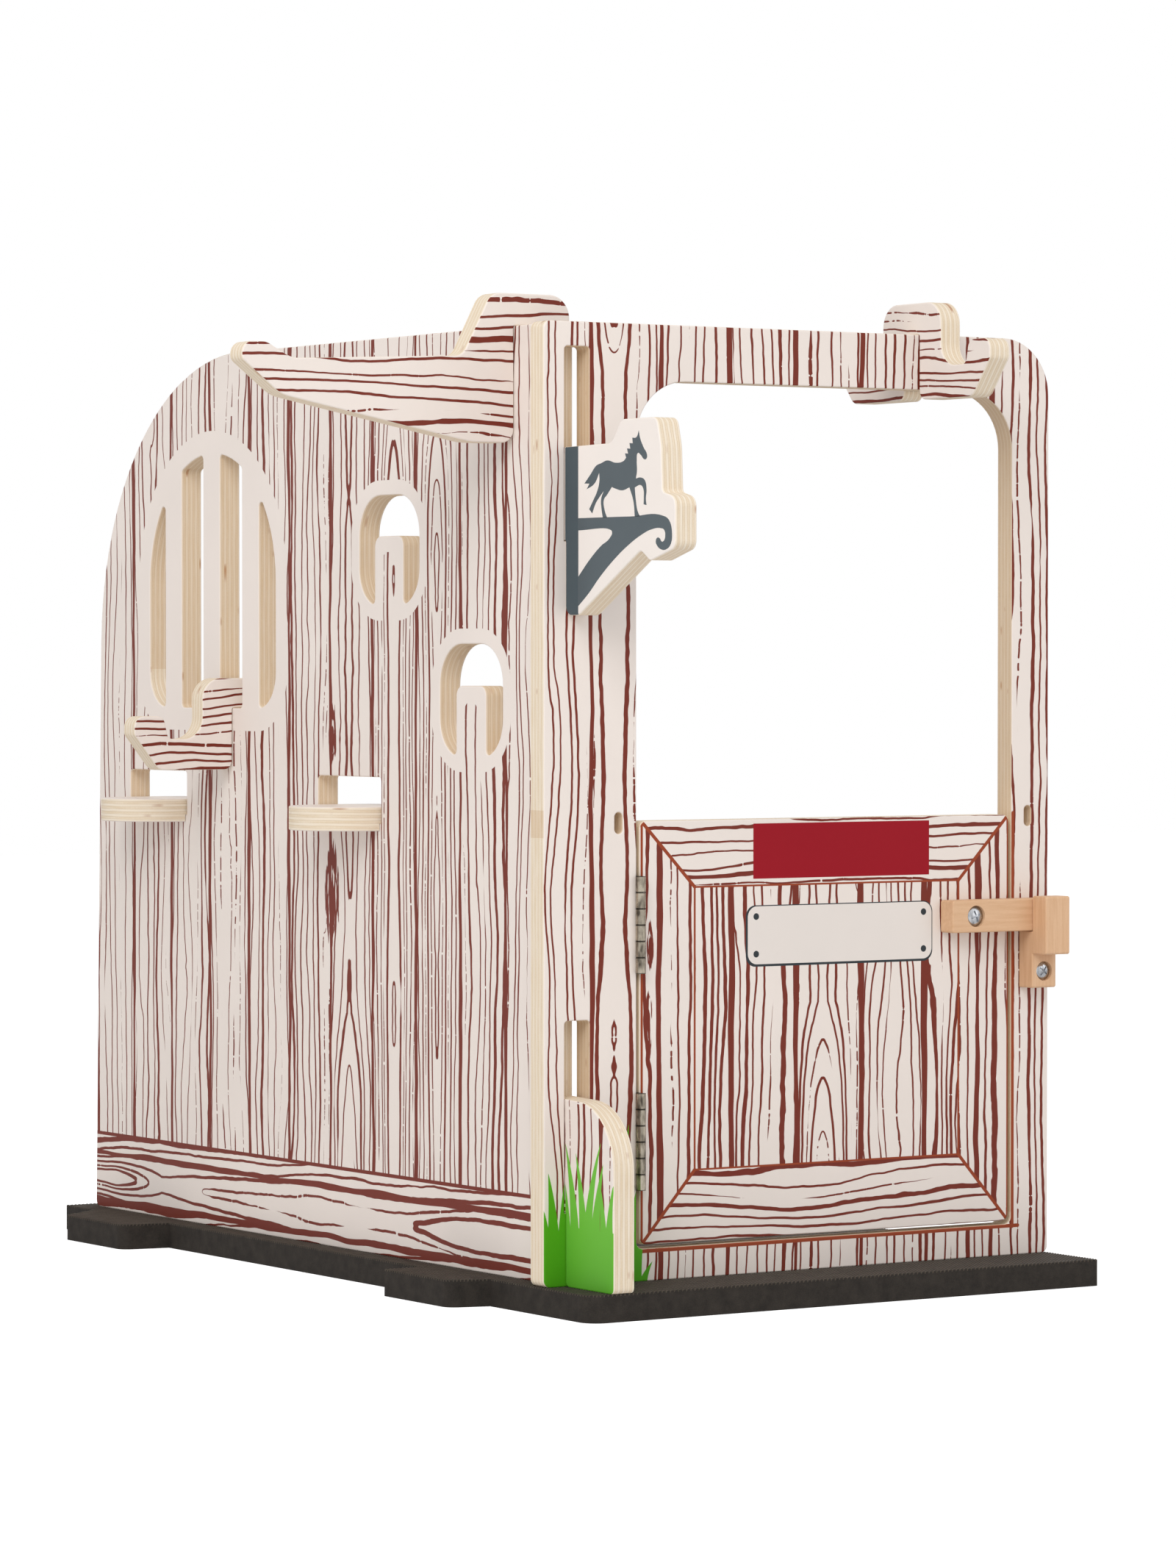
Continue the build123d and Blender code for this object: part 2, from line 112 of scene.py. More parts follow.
class Ink(Enum):
    """Printed colours of the stable."""

    CREAM = linear(239, 228, 220)
    SIGN_CREAM = linear(243, 234, 227)
    BROWN = linear(120, 50, 38)
    ORANGE_BROWN = linear(152, 68, 40)
    SLATE = linear(74, 86, 92)
    RED = linear(154, 10, 29)
    PLATE = linear(233, 224, 217)
    PLATE_LINE = linear(52, 58, 62)
    # The grass is one print ink in two copies: the front wall's darker one holds painted shade cast by the
    # buttress, the buttress's lighter one holds a painted sheen.
    GREEN = linear(88, 170, 30)
    MEADOW = linear(112, 190, 62)
    # Painted shade that the grass darkens into near the mat.
    GRASS_SHADE = linear(74, 158, 26)


class Wood(Enum):
    """Bare wood colours of the stable."""

    PLY_LIGHT = linear(243, 230, 211)
    PLY_DARK = linear(229, 209, 180)
    PLY_GLUE = linear(184, 154, 116)
    PLY_KNOT = linear(176, 116, 72)
    # Brown of the painted shade on cut edges inside the openings, which take less light.
    CUT_BROWN = linear(196, 152, 98)
    BEECH_LIGHT = linear(228, 188, 150)
    BEECH_DARK = linear(209, 162, 121)


class Axis(Enum):
    """Axes of the frame."""

    X = 0
    Y = 1
    Z = 2


class Tree:
    """A node tree with short ways to add and wire its nodes."""

    def __init__(self, tree: bpy.types.NodeTree) -> None:
        """Keep the tree that the nodes go into."""
        self.tree = tree

    def feed(self, socket: Socket, value: object) -> None:
        """Link a socket to fields or sockets, or set its plain value.

        Args:
            socket: The input to feed.
            value: A field, a socket, a list of sockets, a named colour or a plain value.
        """
        for item in value if isinstance(value, list) else [value]:
            item = item.socket if isinstance(item, Field) else item
            if isinstance(item, bpy.types.NodeSocket):
                self.tree.links.new(item, socket)
            else:
                socket.default_value = item.value if isinstance(item, Enum) else item

    def add(self, kind: str, feeds: dict[str | int, object] | None = None, **settings: object) -> bpy.types.Node:
        """Add one node.

        Args:
            kind: The node's type.
            feeds: What its inputs get, by name or number.
            settings: The node's own properties.

        Returns:
            The new node.
        """
        node = self.tree.nodes.new(kind)
        for key, value in settings.items():
            setattr(node, key, value)
        for key, value in (feeds or {}).items():
            self.feed(node.inputs[key], value)
        return node

    def socket(self, label: str, way: str, kind: str, default: object = None) -> None:
        """Give the tree a named input or output.

        Args:
            label: The socket's name.
            way: INPUT or OUTPUT.
            kind: Socket type, such as Float or Geometry.
            default: Its value where nothing is linked.
        """
        socket = self.tree.interface.new_socket(name=label, in_out=way, socket_type="NodeSocket" + kind)
        if default is not None:
            socket.default_value = default


class Field:
    """A value or colour that changes over a surface, with plain arithmetic on it."""

    def __init__(self, bench: "Bench", socket: Socket) -> None:
        """Keep the node output and the bench that it belongs to."""
        self.bench = bench
        self.socket = socket

    def __add__(self, other: "Value") -> "Field":
        """Sum of two values."""
        return self.bench.math("ADD", self, other)

    def __sub__(self, other: "Value") -> "Field":
        """Difference of two values."""
        return self.bench.math("SUBTRACT", self, other)

    def __rsub__(self, other: float) -> "Field":
        """Difference from a number."""
        return self.bench.math("SUBTRACT", other, self)

    def __mul__(self, other: "Value") -> "Field":
        """Product of two values."""
        return self.bench.math("MULTIPLY", self, other)

    def __truediv__(self, other: "Value") -> "Field":
        """Quotient of two values."""
        return self.bench.math("DIVIDE", self, other)

    def __rtruediv__(self, other: float) -> "Field":
        """A number divided by the value."""
        return self.bench.math("DIVIDE", other, self)

    def __pow__(self, other: float) -> "Field":
        """Power of the value."""
        return self.bench.math("POWER", self, other)

    def __neg__(self) -> "Field":
        """The value with its sign turned."""
        return self * -1.0

    def __abs__(self) -> "Field":
        """The value without its sign."""
        return self.bench.math("ABSOLUTE", self)

    def scaled(self, factor: "Value", shift: "Value" = 0.0, clamp: bool = False) -> "Field":
        """The value times a factor, plus a shift, held between 0 and 1 where asked."""
        return self.bench.math("MULTIPLY_ADD", self, factor, shift, clamp=clamp)

    def inside(self, reach: "Value" = 0.0, soft: float = 0.14) -> "Field":
        """Mask that is 1 where this distance in millimetres stays under a reach."""
        return self.bench.math("ADD", (reach - self) / soft, 0.5, clamp=True)


Value = float | Field


class Bench(Tree):
    """A shader node tree and its ready-made values, masks and textures."""

    def use(self, group: bpy.types.NodeTree, **values: Value) -> dict[str, Field]:
        """Place a shader node group.

        Args:
            group: The group.
            values: Its inputs by name, in small letters and with underscores for spaces.

        Returns:
            Its outputs by name.
        """
        feeds = {label.replace("_", " ").title(): value for label, value in values.items()}
        node = self.add("ShaderNodeGroup", feeds, node_tree=group)
        return {socket.name: Field(self, socket) for socket in node.outputs}

    def field(self, kind: str, feeds: dict[str | int, object], output: int = 0, **settings: object) -> Field:
        """Add a node and give one of its outputs."""
        return Field(self, self.add(kind, feeds, **settings).outputs[output])

    def math(self, operation: str, *values: Value, clamp: bool = False) -> Field:
        """Add a Math node and give its result."""
        return self.field("ShaderNodeMath", dict(enumerate(values)), operation=operation, use_clamp=clamp)

    def lower(self, first: Value, second: Value) -> Field:
        """Give the lower of two values."""
        return self.math("MINIMUM", first, second)

    def higher(self, first: Value, second: Value) -> Field:
        """Give the higher of two values."""
        return self.math("MAXIMUM", first, second)

    def highest(self, values: Sequence[Field]) -> Field:
        """Give the highest of several values.

        Args:
            values: One or more values.

        Returns:
            The highest of them.
        """
        result = values[0]
        for value in values[1:]:
            result = self.higher(result, value)
        return result

    def length(self, first: Field, second: Field) -> Field:
        """Give the length of a step with two parts at a right angle."""
        return self.math("SQRT", first * first + second * second)

    def join(self, x: Value, y: Value, z: Value = 0.0) -> Field:
        """Make a vector of three values."""
        return self.field("ShaderNodeCombineXYZ", {0: x, 1: y, 2: z})

    def noise(self, x: Value, y: Value, z: Value = 0.0, scale: float = 1.0, detail: float = 1.0,
              rough: float = 0.5) -> Field:
        """Give a noise texture's value at a place.

        Args:
            x: First part of the place.
            y: Second part of the place.
            z: Third part of the place.
            scale: Scale on all three.
            detail: Finer layers added.
            rough: Strength of the finer layers.

        Returns:
            The noise, from 0 to 1.
        """
        feeds = {"Vector": self.join(x, y, z), "Scale": scale, "Detail": detail, "Roughness": rough}
        return self.field("ShaderNodeTexNoise", feeds, noise_dimensions="3D")

    def random(self, x: Value, y: Value, z: Value) -> list[Field]:
        """Give three random values that stay the same for the same three numbers.

        Args:
            x: First number.
            y: Second number.
            z: Third number.

        Returns:
            Three values from 0 to 1.
        """
        drawn = self.field("ShaderNodeTexWhiteNoise", {"Vector": self.join(x, y, z)}, 1, noise_dimensions="3D")
        return [Field(self, socket) for socket in self.add("ShaderNodeSeparateColor", {0: drawn}).outputs]

    def blend(self, amount: Value, under: object, over: object) -> Field:
        """Mix two colours."""
        return self.field("ShaderNodeMix", {0: amount, 6: under, 7: over}, 2, data_type="RGBA")

    def mix(self, amount: Value, under: Value, over: Value) -> Field:
        """Mix two values."""
        return self.field("ShaderNodeMix", {0: amount, 2: under, 3: over}, data_type="FLOAT")

    def millimetres(self) -> list[Field]:
        """Give the places on a piece in millimetres from the front wall's corner.

        Returns:
            The places along the three axes.
        """
        places = self.add("ShaderNodeTexCoord").outputs["Object"]
        grown = self.field("ShaderNodeVectorMath", {0: places, "Scale": 1 / MM}, operation="SCALE")
        moved = self.field("ShaderNodeVectorMath", {0: grown, 1: CORNER}, operation="SUBTRACT")
        return [Field(self, socket) for socket in self.add("ShaderNodeSeparateXYZ", {0: moved}).outputs]

    def surface(self, feeds: dict[str, object]) -> None:
        """Feed the Principled BSDF's inputs by name.

        Args:
            feeds: A field or a plain value for each input.
        """
        shader = self.tree.nodes["Principled BSDF"]
        for label, value in feeds.items():
            self.feed(shader.inputs[label], value)

    def bump(self, height: Field, distance: float, strength: float) -> None:
        """Roughen the surface by a height, whose full step is a distance in metres."""
        feeds = {"Height": height, "Distance": distance, "Strength": strength}
        self.surface({"Normal": self.field("ShaderNodeBump", feeds)})


class GroupBench(Bench):
    """A shader node group while it is wired, from its named inputs to its outputs."""

    def __init__(self, name: str, inputs: dict[str, float], outputs: Sequence[str]) -> None:
        """Start the group.

        Args:
            name: The group's name.
            inputs: Float inputs with their default values.
            outputs: Names of the outputs. Color is a colour and the others are values.
        """
        super().__init__(bpy.data.node_groups.new(name, "ShaderNodeTree"))
        for label, default in inputs.items():
            self.socket(label, "INPUT", "Float", default)
        for label in outputs:
            self.socket(label, "OUTPUT", "Color" if label == "Color" else "Float")
        self.entry = self.add("NodeGroupInput")
        self.exit = self.add("NodeGroupOutput")

    def inputs(self) -> list[Field]:
        """Give the inputs in order, without the empty last one."""
        return [Field(self, socket) for socket in self.entry.outputs][:-1]

    def close(self, *results: Value) -> bpy.types.NodeTree:
        """Feed the outputs in order.

        Args:
            results: One value or colour for each output.

        Returns:
            The finished group.
        """
        for socket, value in zip(self.exit.inputs, results):
            self.feed(socket, value)
        return self.tree


def board_count() -> bpy.types.NodeTree:
    """Boards side by side: each board's number and the distance from its nearest joint.

    Returns:
        The group.
    """
    bench = GroupBench("board_count", {"Across": 0, "Along": 0, "Start": 0, "Width": 44.8, "Seed": 0},
                       ("Number", "To Joint"))
    across, along, start, width, seed = bench.inputs()
    sway = bench.noise(across.scaled(0.01), along.scaled(0.022), seed + 41.0, detail=2)
    board = (across + sway.scaled(3.4, -1.7) - start) / width
    number = bench.math("FLOOR", board)
    share = board - number
    return bench.close(number, bench.lower(share, 1.0 - share) * width)


def ring_field() -> bpy.types.NodeTree:
    """Growth rings of printed boards: a value that rises by one from each drawn line to the next.

    Returns:
        The group.
    """
    bench = GroupBench("ring_field", {"Across": 0, "Along": 0, "Number": 0, "Pitch": 5, "Figure": 1, "Seed": 0},
                       ("Rings",))
    across, along, number, pitch, figure, seed = bench.inputs()
    wander = bench.noise(across.scaled(0.03), along.scaled(0.009), seed)
    tremble = bench.noise(across.scaled(0.13), along.scaled(0.06), seed + 3.1, detail=2)
    shape = bench.noise(across.scaled(0.045) + number.scaled(7.7), along.scaled(0.0085), seed + 6.0)
    bent = across + wander.scaled(11.0) + tremble.scaled(2.0)
    return bench.close(bent / pitch + (shape - 0.5) * figure)


def board_ink() -> bpy.types.NodeTree:
    """Printed boards: hand-drawn grain lines that run along them, and the joints between them.

    Returns:
        A group from places across and along the grain, in millimetres, to the ink's mask.
        Moved and Swirl, with their slopes, say how figures bend the lines.
    """
    bench = GroupBench(
        "board_ink",
        {"Across": 0, "Along": 0, "Number": 0, "To Joint": 9, "Pitch": 6, "Weight": 1, "Figure": 1,
         "Joint": 1, "Moved": 0, "Moved Across": 0, "Moved Along": 0, "Swirl": 0, "Swirl Across": 0,
         "Swirl Along": 0, "Seed": 0},
        ("Ink",),
    )
    (flat, along, number, to_joint, pitch, weight, figure, joint, moved, moved_across, moved_along,
     swirl, swirl_across, swirl_along, seed) = bench.inputs()
    across = flat + moved
    drift = flat.scaled(0.03)
    lively, _, busy = bench.random(number, seed, 1.0)

    # The field's slope turns a share of a ring into millimetres on the board.
    step = 0.4
    field_group = ring_field()
    shared = {"number": number, "pitch": pitch, "figure": (lively * lively).scaled(6.0, 1.2) * figure, "seed": seed}
    here, beside, above = (
        bench.use(field_group, across=x, along=y, **shared)["Rings"]
        for x, y in ((across, along), (across + step, along), (across, along + step))
    )
    slope_across = (beside - here).scaled(1 / step)
    slope_along = (above - here).scaled(1 / step)
    steep = bench.length(
        slope_across * (moved_across + 1.0) + swirl_across,
        slope_along + slope_across * moved_along + swirl_along,
    )
    steep = bench.higher(steep, 0.2 / pitch)

    # Each line has its own width, its own place between two rings, and breaks where it runs thin.
    rings = here + swirl
    ring = bench.math("FLOOR", rings)
    bold, shift, ragged = bench.random(ring, number, seed)
    faint = ragged.scaled(2.2, -1.2, clamp=True)
    swell = bench.noise(ring.scaled(5.3), along.scaled(0.018), drift + (seed + 11.0), detail=2)
    alive = (swell - faint.scaled(0.27, 0.2)).scaled(8.0, clamp=True)
    nick = bench.noise(ring.scaled(3.1), along.scaled(0.3), drift + (seed + 20.0), detail=2)
    whole = (faint.scaled(-0.26, 0.84) - nick).scaled(14.0, clamp=True)
    width = (bold ** 4.0).scaled(0.8, 0.42) * swell.scaled(1.3, 0.35) * weight
    width = width * busy.scaled(0.3, 0.85) * faint.scaled(-0.5, 1.0)
    width = bench.lower(width * alive * whole, 0.27 / steep)
    off = abs(rings - ring - 0.5 - shift.scaled(0.4, -0.2)) / steep
    grain = off.inside(width) * width.scaled(8.0, clamp=True)

    joint_swell = bench.noise(number.scaled(3.3), along.scaled(0.011), seed + 31.0, detail=2)
    joint_width = bench.higher(joint_swell.scaled(3.0, -0.45), 0.5) * joint
    gap = to_joint.inside(joint_width) * joint_width.scaled(6.0, clamp=True)
    return bench.close(bench.higher(grain, gap))


def rounded_outline() -> bpy.types.NodeTree:
    """Distance from a rectangle with rounded corners, negative inside it.

    Returns:
        The group.
    """
    bench = GroupBench(
        "rounded_outline",
        {"X": 0, "Y": 0, "Centre X": 0, "Centre Y": 0, "Half X": 1, "Half Y": 1, "Radius": 0},
        ("Distance",),
    )
    x, y, centre_x, centre_y, half_x, half_y, radius = bench.inputs()
    side_x = abs(x - centre_x) - half_x + radius
    side_y = abs(y - centre_y) - half_y + radius
    outer = bench.length(bench.higher(side_x, 0.0), bench.higher(side_y, 0.0))
    inner = bench.lower(bench.higher(side_x, side_y), 0.0)
    return bench.close(outer + inner - radius)


def straight_line() -> bpy.types.NodeTree:
    """Distance from a straight line between two points.

    Returns:
        The group.
    """
    bench = GroupBench("straight_line", {"X": 0, "Y": 0, "From X": 0, "From Y": 0, "To X": 1, "To Y": 0},
                       ("Distance",))
    x, y, from_x, from_y, to_x, to_y = bench.inputs()
    run_x, run_y = to_x - from_x, to_y - from_y
    off_x, off_y = x - from_x, y - from_y
    share = bench.math("DIVIDE", off_x * run_x + off_y * run_y, run_x * run_x + run_y * run_y, clamp=True)
    return bench.close(bench.length(off_x - run_x * share, off_y - run_y * share))


def grass_blade() -> bpy.types.NodeTree:
    """One curved blade of grass, from a wide root to a pointed tip.

    Returns:
        The group.
    """
    bench = GroupBench(
        "grass_blade",
        {"Across": 0, "Height": 0, "Root": 0, "Tip": 0, "Low": 20, "Top": 60, "Half": 4},
        ("Ink",),
    )
    across, height, root, tip, low, top, half = bench.inputs()
    rise = bench.math("DIVIDE", height - low, top - low, clamp=True)
    off = abs(across - (root + (tip - root) * rise ** 1.7))
    blade = off.inside(half * (1.0 - rise) ** 0.8)
    return bench.close(blade * height.inside(top) * (-height).inside(-low))


def knot_figure() -> bpy.types.NodeTree:
    """A knot: how it pushes the grain lines apart round it, and its own dark, ragged heart.

    Returns:
        The group.
    """
    bench = GroupBench(
        "knot_figure",
        {"Across": 0, "Along": 0, "At Across": 0, "At Along": 0, "Wide": 8, "Long": 30},
        ("Moved", "Moved Across", "Moved Along", "Ink"),
    )
    push = 0.8
    across, along, at_across, at_along, wide, long = bench.inputs()
    off = across - at_across
    x, y = off / wide, (along - at_along) / long
    near = bench.math("EXPONENT", -(x * x + y * y)).scaled(-push)
    moved = near * off
    moved_across = near * (x * x).scaled(-2.0, 1.0)
    moved_along = moved * y * -2.0 / long

    high = y.scaled(1 / 0.8)
    reach = bench.length(x.scaled(1 / 0.6), high)
    stroke = bench.noise(across.scaled(0.5), along.scaled(0.05), detail=3)
    rim = stroke.scaled(1.5, -0.52) - abs(reach - 0.8)
    core = stroke.scaled(1.9, -0.3) - (reach.scaled(1.2) + high.scaled(0.5))
    ink = bench.higher(rim, core).scaled(12.0, clamp=True)
    return bench.close(moved, moved_across, moved_along, ink)


def arch_figure() -> bpy.types.NodeTree:
    """Arched figure of one board: the lines fold about its middle and open from an apex.

    Returns:
        The group.
    """
    bench = GroupBench(
        "arch_figure",
        {"Across": 0, "Along": 0, "At Across": 0, "Apex": 0, "Wide": 12, "Span": 80, "Turns": 3, "On": 0},
        ("Moved", "Moved Across", "Swirl", "Swirl Across", "Swirl Along"),
    )
    crown = 3.6
    across, along, at_across, apex, wide, span, turns, on = bench.inputs()
    off = across - at_across
    fold = bench.math("SQRT", off * off + crown * crown)
    x = off / wide
    near = bench.math("EXPONENT", -(x * x)) * on * turns
    down = (apex - along) / span
    swirl = -(near * down.scaled(1.0, clamp=True))
    opening = bench.math("COMPARE", down, 0.5, 0.5)
    return bench.close((fold - off) * on, (off / fold - 1.0) * on, swirl, x * swirl * -2.0 / wide,
                       near * opening / span)


def ply_layers() -> bpy.types.NodeTree:
    """Cut edge of plywood: layers by turns along the grain and across it, with glue lines.

    Returns:
        A group from a depth in the sheet and the two places along it, in millimetres, to
        the edge's colour, height and roughness.
    """
    bench = GroupBench("ply_layers", {"Depth": 0, "First": 0, "Second": 0, "Seed": 0},
                       ("Color", "Height", "Roughness"))
    into, first, second, seed = bench.inputs()
    slow = first.scaled(0.06), second.scaled(0.06)
    depth = into + bench.noise(first.scaled(0.02), second.scaled(0.02), seed).scaled(0.6, -0.3)
    layer = depth / (SHEET / PLY_LAYERS)
    number = bench.math("FLOOR", layer)
    share = layer - number
    crossing = bench.math("MODULO", abs(number), 2.0)
    streak = bench.noise(*slow, depth.scaled(1.6) + seed, detail=3)
    speck = bench.noise(first, second, depth.scaled(1.4), scale=1.3, detail=2)
    tone = crossing * 0.6 + streak.scaled(1.7, -0.72)
    tone = bench.math("ADD", tone, crossing * speck.scaled(0.9, -0.45), clamp=True)
    glue = bench.lower(share, 1.0 - share).inside(0.05, soft=0.08)
    knot = bench.noise(*slow, number.scaled(9.1) + seed).scaled(12.0, -8.2, clamp=True) * (1.0 - crossing)
    colour = bench.blend(tone, Wood.PLY_LIGHT, Wood.PLY_DARK)
    colour = bench.blend(glue * 0.5, colour, Wood.PLY_GLUE)
    colour = bench.blend(knot * 0.75, colour, Wood.PLY_KNOT)
    height = speck.scaled(0.5) - (crossing * 0.35 + glue * 0.5)
    return bench.close(colour, height, speck.scaled(0.2, 0.5))


@dataclass(frozen=True)
class Groups:
    """Shader node groups that several finishes share, each built once."""

    count: bpy.types.NodeTree = field(default_factory=board_count)
    boards: bpy.types.NodeTree = field(default_factory=board_ink)
    outline: bpy.types.NodeTree = field(default_factory=rounded_outline)
    line: bpy.types.NodeTree = field(default_factory=straight_line)
    blade: bpy.types.NodeTree = field(default_factory=grass_blade)
    knot: bpy.types.NodeTree = field(default_factory=knot_figure)
    arch: bpy.types.NodeTree = field(default_factory=arch_figure)
    ply: bpy.types.NodeTree = field(default_factory=ply_layers)


@dataclass(frozen=True)
class Knot:
    """A knot in the printed grain, by its place and its reach across and along the grain."""

    at_across: float
    at_along: float
    wide: float
    long: float


@dataclass(frozen=True)
class Arch:
    """Nested arches that fill one board and open along the grain from their apex."""

    at_across: float
    apex: float
    wide: float
    span: float
    turns: float


@dataclass(frozen=True)
class Boards:
    """A run of printed boards: first joint, width, and how their lines are drawn."""

    start: float
    width: float
    pitch: float
    weight: float
    figure: float
    joint: float
    seed: float
    lean: float = 0.0
    knots: tuple[Knot, ...] = ()
    arches: tuple[Arch, ...] = ()


@dataclass(frozen=True)
class Blade:
    """A blade of grass: where its root and its tip stand, its tip's height and its half width."""

    root: float
    tip: float
    top: float
    half: float


@dataclass(frozen=True)
class Plate:
    """A printed plate: its edges, its corner radius and its colour."""

    left: float
    right: float
    low: float
    high: float
    radius: float
    ink: Ink


@dataclass
class Sheet:
    """Surface of one plywood piece while its print is drawn: places, masks and colours."""

    bench: Bench
    groups: Groups
    places: Sequence[Field]
    depth: Field
    colour: object = Ink.CREAM
    # Mask of painted shade on the cut edges inside openings.
    tanned: Value = 0.0

    def boards(self, across: Field, along: Field, run: Boards) -> Field:
        """Draw a run of printed boards with its knots and arches.

        Args:
            across: Place across the grain.
            along: Place along the grain.
            run: The boards.

        Returns:
            The ink's mask.
        """
        bench, groups = self.bench, self.groups
        spot = {"across": across, "along": along}
        number, to_joint = bench.use(groups.count, **spot, start=run.start, width=run.width, seed=run.seed).values()
        figures = [bench.use(groups.knot, **spot, **vars(knot)) for knot in run.knots]
        hearts = [figure.pop("Ink") for figure in figures]
        for arch in run.arches:
            board = math.floor((arch.at_across - run.start) / run.width)
            on = bench.math("COMPARE", number, board, 0.5)
            figures.append(bench.use(groups.arch, **spot, **vars(arch), on=on))
        bends: dict[str, Value] = {"Moved": along.scaled(run.lean), "Moved Along": run.lean}
        for figure in figures:
            for label, bend in figure.items():
                bends[label] = bend + bends.get(label, 0.0)
        ink = bench.use(groups.boards, **spot, **bends, number=number, to_joint=to_joint, pitch=run.pitch,
                        weight=run.weight, figure=run.figure, joint=run.joint, seed=run.seed)["Ink"]
        return bench.highest([ink, *hearts])

    def outline(self, x: Field, y: Field, centre: Point, half: Point, radius: float) -> Field:
        """Distance from a rounded rectangle."""
        return self.bench.use(self.groups.outline, x=x, y=y, centre_x=centre[0], centre_y=centre[1],
                              half_x=half[0], half_y=half[1], radius=radius)["Distance"]

    def line(self, x: Field, y: Field, start: Point, end: Point) -> Field:
        """Distance from a straight line."""
        return self.bench.use(self.groups.line, x=x, y=y, from_x=start[0], from_y=start[1],
                              to_x=end[0], to_y=end[1])["Distance"]

    def blade(self, across: Field, height: Field, low: float, blade: Blade) -> Field:
        """Mask of one blade of grass above a height."""
        return self.bench.use(self.groups.blade, across=across, height=height, low=low, **vars(blade))["Ink"]

    def grass(self, across: Field, height: Field, solid: float, blades: Iterable[Blade]) -> Field:
        """Mask of grass with a solid foot.

        Args:
            across: Place along the tuft.
            height: Height over the mat.
            solid: Height of the solid foot.
            blades: The blades above it.

        Returns:
            The ink's mask.
        """
        masks = [self.blade(across, height, solid - 4.0, blade) for blade in blades]
        return self.bench.highest([height.inside(solid), *masks])

    def paint(self, mask: Value, colour: object) -> None:
        """Lay a colour over what is painted so far."""
        self.colour = self.bench.blend(mask, self.colour, colour)

    def paint_grass(self, mask: Field, height: Field, ink: Ink) -> None:
        """Lay a green with painted shade that darkens it a little towards the ground."""
        # Painted shade: the green darkens towards the mat.
        shade = height.scaled(-0.012, 0.45, clamp=True)
        self.paint(mask, self.bench.blend(shade, ink, Ink.GRASS_SHADE))


@dataclass(frozen=True)
class FrontWallPrint:
    """Print of the front wall: upright boards, the line round the half door and the grass."""

    boards: Boards = Boards(28.7, 42.3, 6.0, 1.35, 0.35, 1.3, 4.2, arches=(Arch(42.5, 472.0, 6.0, -32.0, 2.4),))
    doorway: Point = (56.3, 296.4)
    doorway_middle: float = 240.0
    doorway_reach: float = 224.0
    doorway_radius: float = 10.0
    slots: Point = (11.0, 29.0)
    lacing: float = 235.2
    lacing_half: float = 7.0
    # Strength of the painted shade on the cut edges.
    tan: float = 0.3
    stile_line: float = 0.85
    foot_line: float = 1.0
    sill: float = 16.7
    door_top: float = 237.0
    grass_foot: float = 28.0
    grass_end: float = 58.5
    blades: tuple[Blade, ...] = (
        Blade(0.6, -1.0, 42.0, 3.4), Blade(5.8, 2.7, 58.3, 3.6), Blade(11.6, 12.8, 55.0, 3.2),
        Blade(29.0, 25.0, 60.0, 3.4), Blade(36.0, 41.0, 72.0, 3.6), Blade(43.0, 37.0, 57.0, 3.6),
        Blade(48.0, 51.4, 81.0, 3.4), Blade(54.0, 56.5, 48.0, 3.0),
    )
    leaning: tuple[Blade, ...] = (Blade(59.5, 66.0, 10.0, 3.4), Blade(57.0, 60.5, 25.0, 2.6))
    leaning_root: float = -4.0

    def draw(self, sheet: Sheet) -> None:
        """Draw the print.

        Args:
            sheet: The wall's surface.
        """
        bench = sheet.bench
        x, _, z = sheet.places
        sheet.paint(sheet.boards(x, z, self.boards), Ink.BROWN)
        left, right = self.doorway
        opening = sheet.outline(x, z, ((left + right) / 2, self.doorway_middle),
                                ((right - left) / 2, self.doorway_reach), self.doorway_radius)
        slots = (-x).inside(-self.slots[0]) * x.inside(self.slots[1])
        lacing = abs(z - self.lacing).inside(self.lacing_half)
        # Painted shade on the cut edges round the doorway, the slots and the lacing band.
        sheet.tanned = bench.highest([opening.inside(0.4), slots, lacing]) * self.tan
        stile = sheet.line(x, z, (right + 0.9, self.sill - 1.4), (right + 0.9, self.door_top))
        foot = sheet.line(x, z, (left - 0.5, self.sill - 1.2), (right + 4.5, self.sill - 0.9))
        sheet.paint(bench.higher(stile.inside(self.stile_line), foot.inside(self.foot_line)), Ink.ORANGE_BROWN)
        tuft = sheet.grass(x, z, self.grass_foot, self.blades) * x.inside(self.grass_end)
        leaning = [sheet.blade(x, z, self.leaning_root, blade) for blade in self.leaning]
        # The front wall's grass takes the darker copy of the green, as painted shade from the buttress.
        sheet.paint_grass(bench.highest([tuft, *leaning]), z, Ink.GREEN)


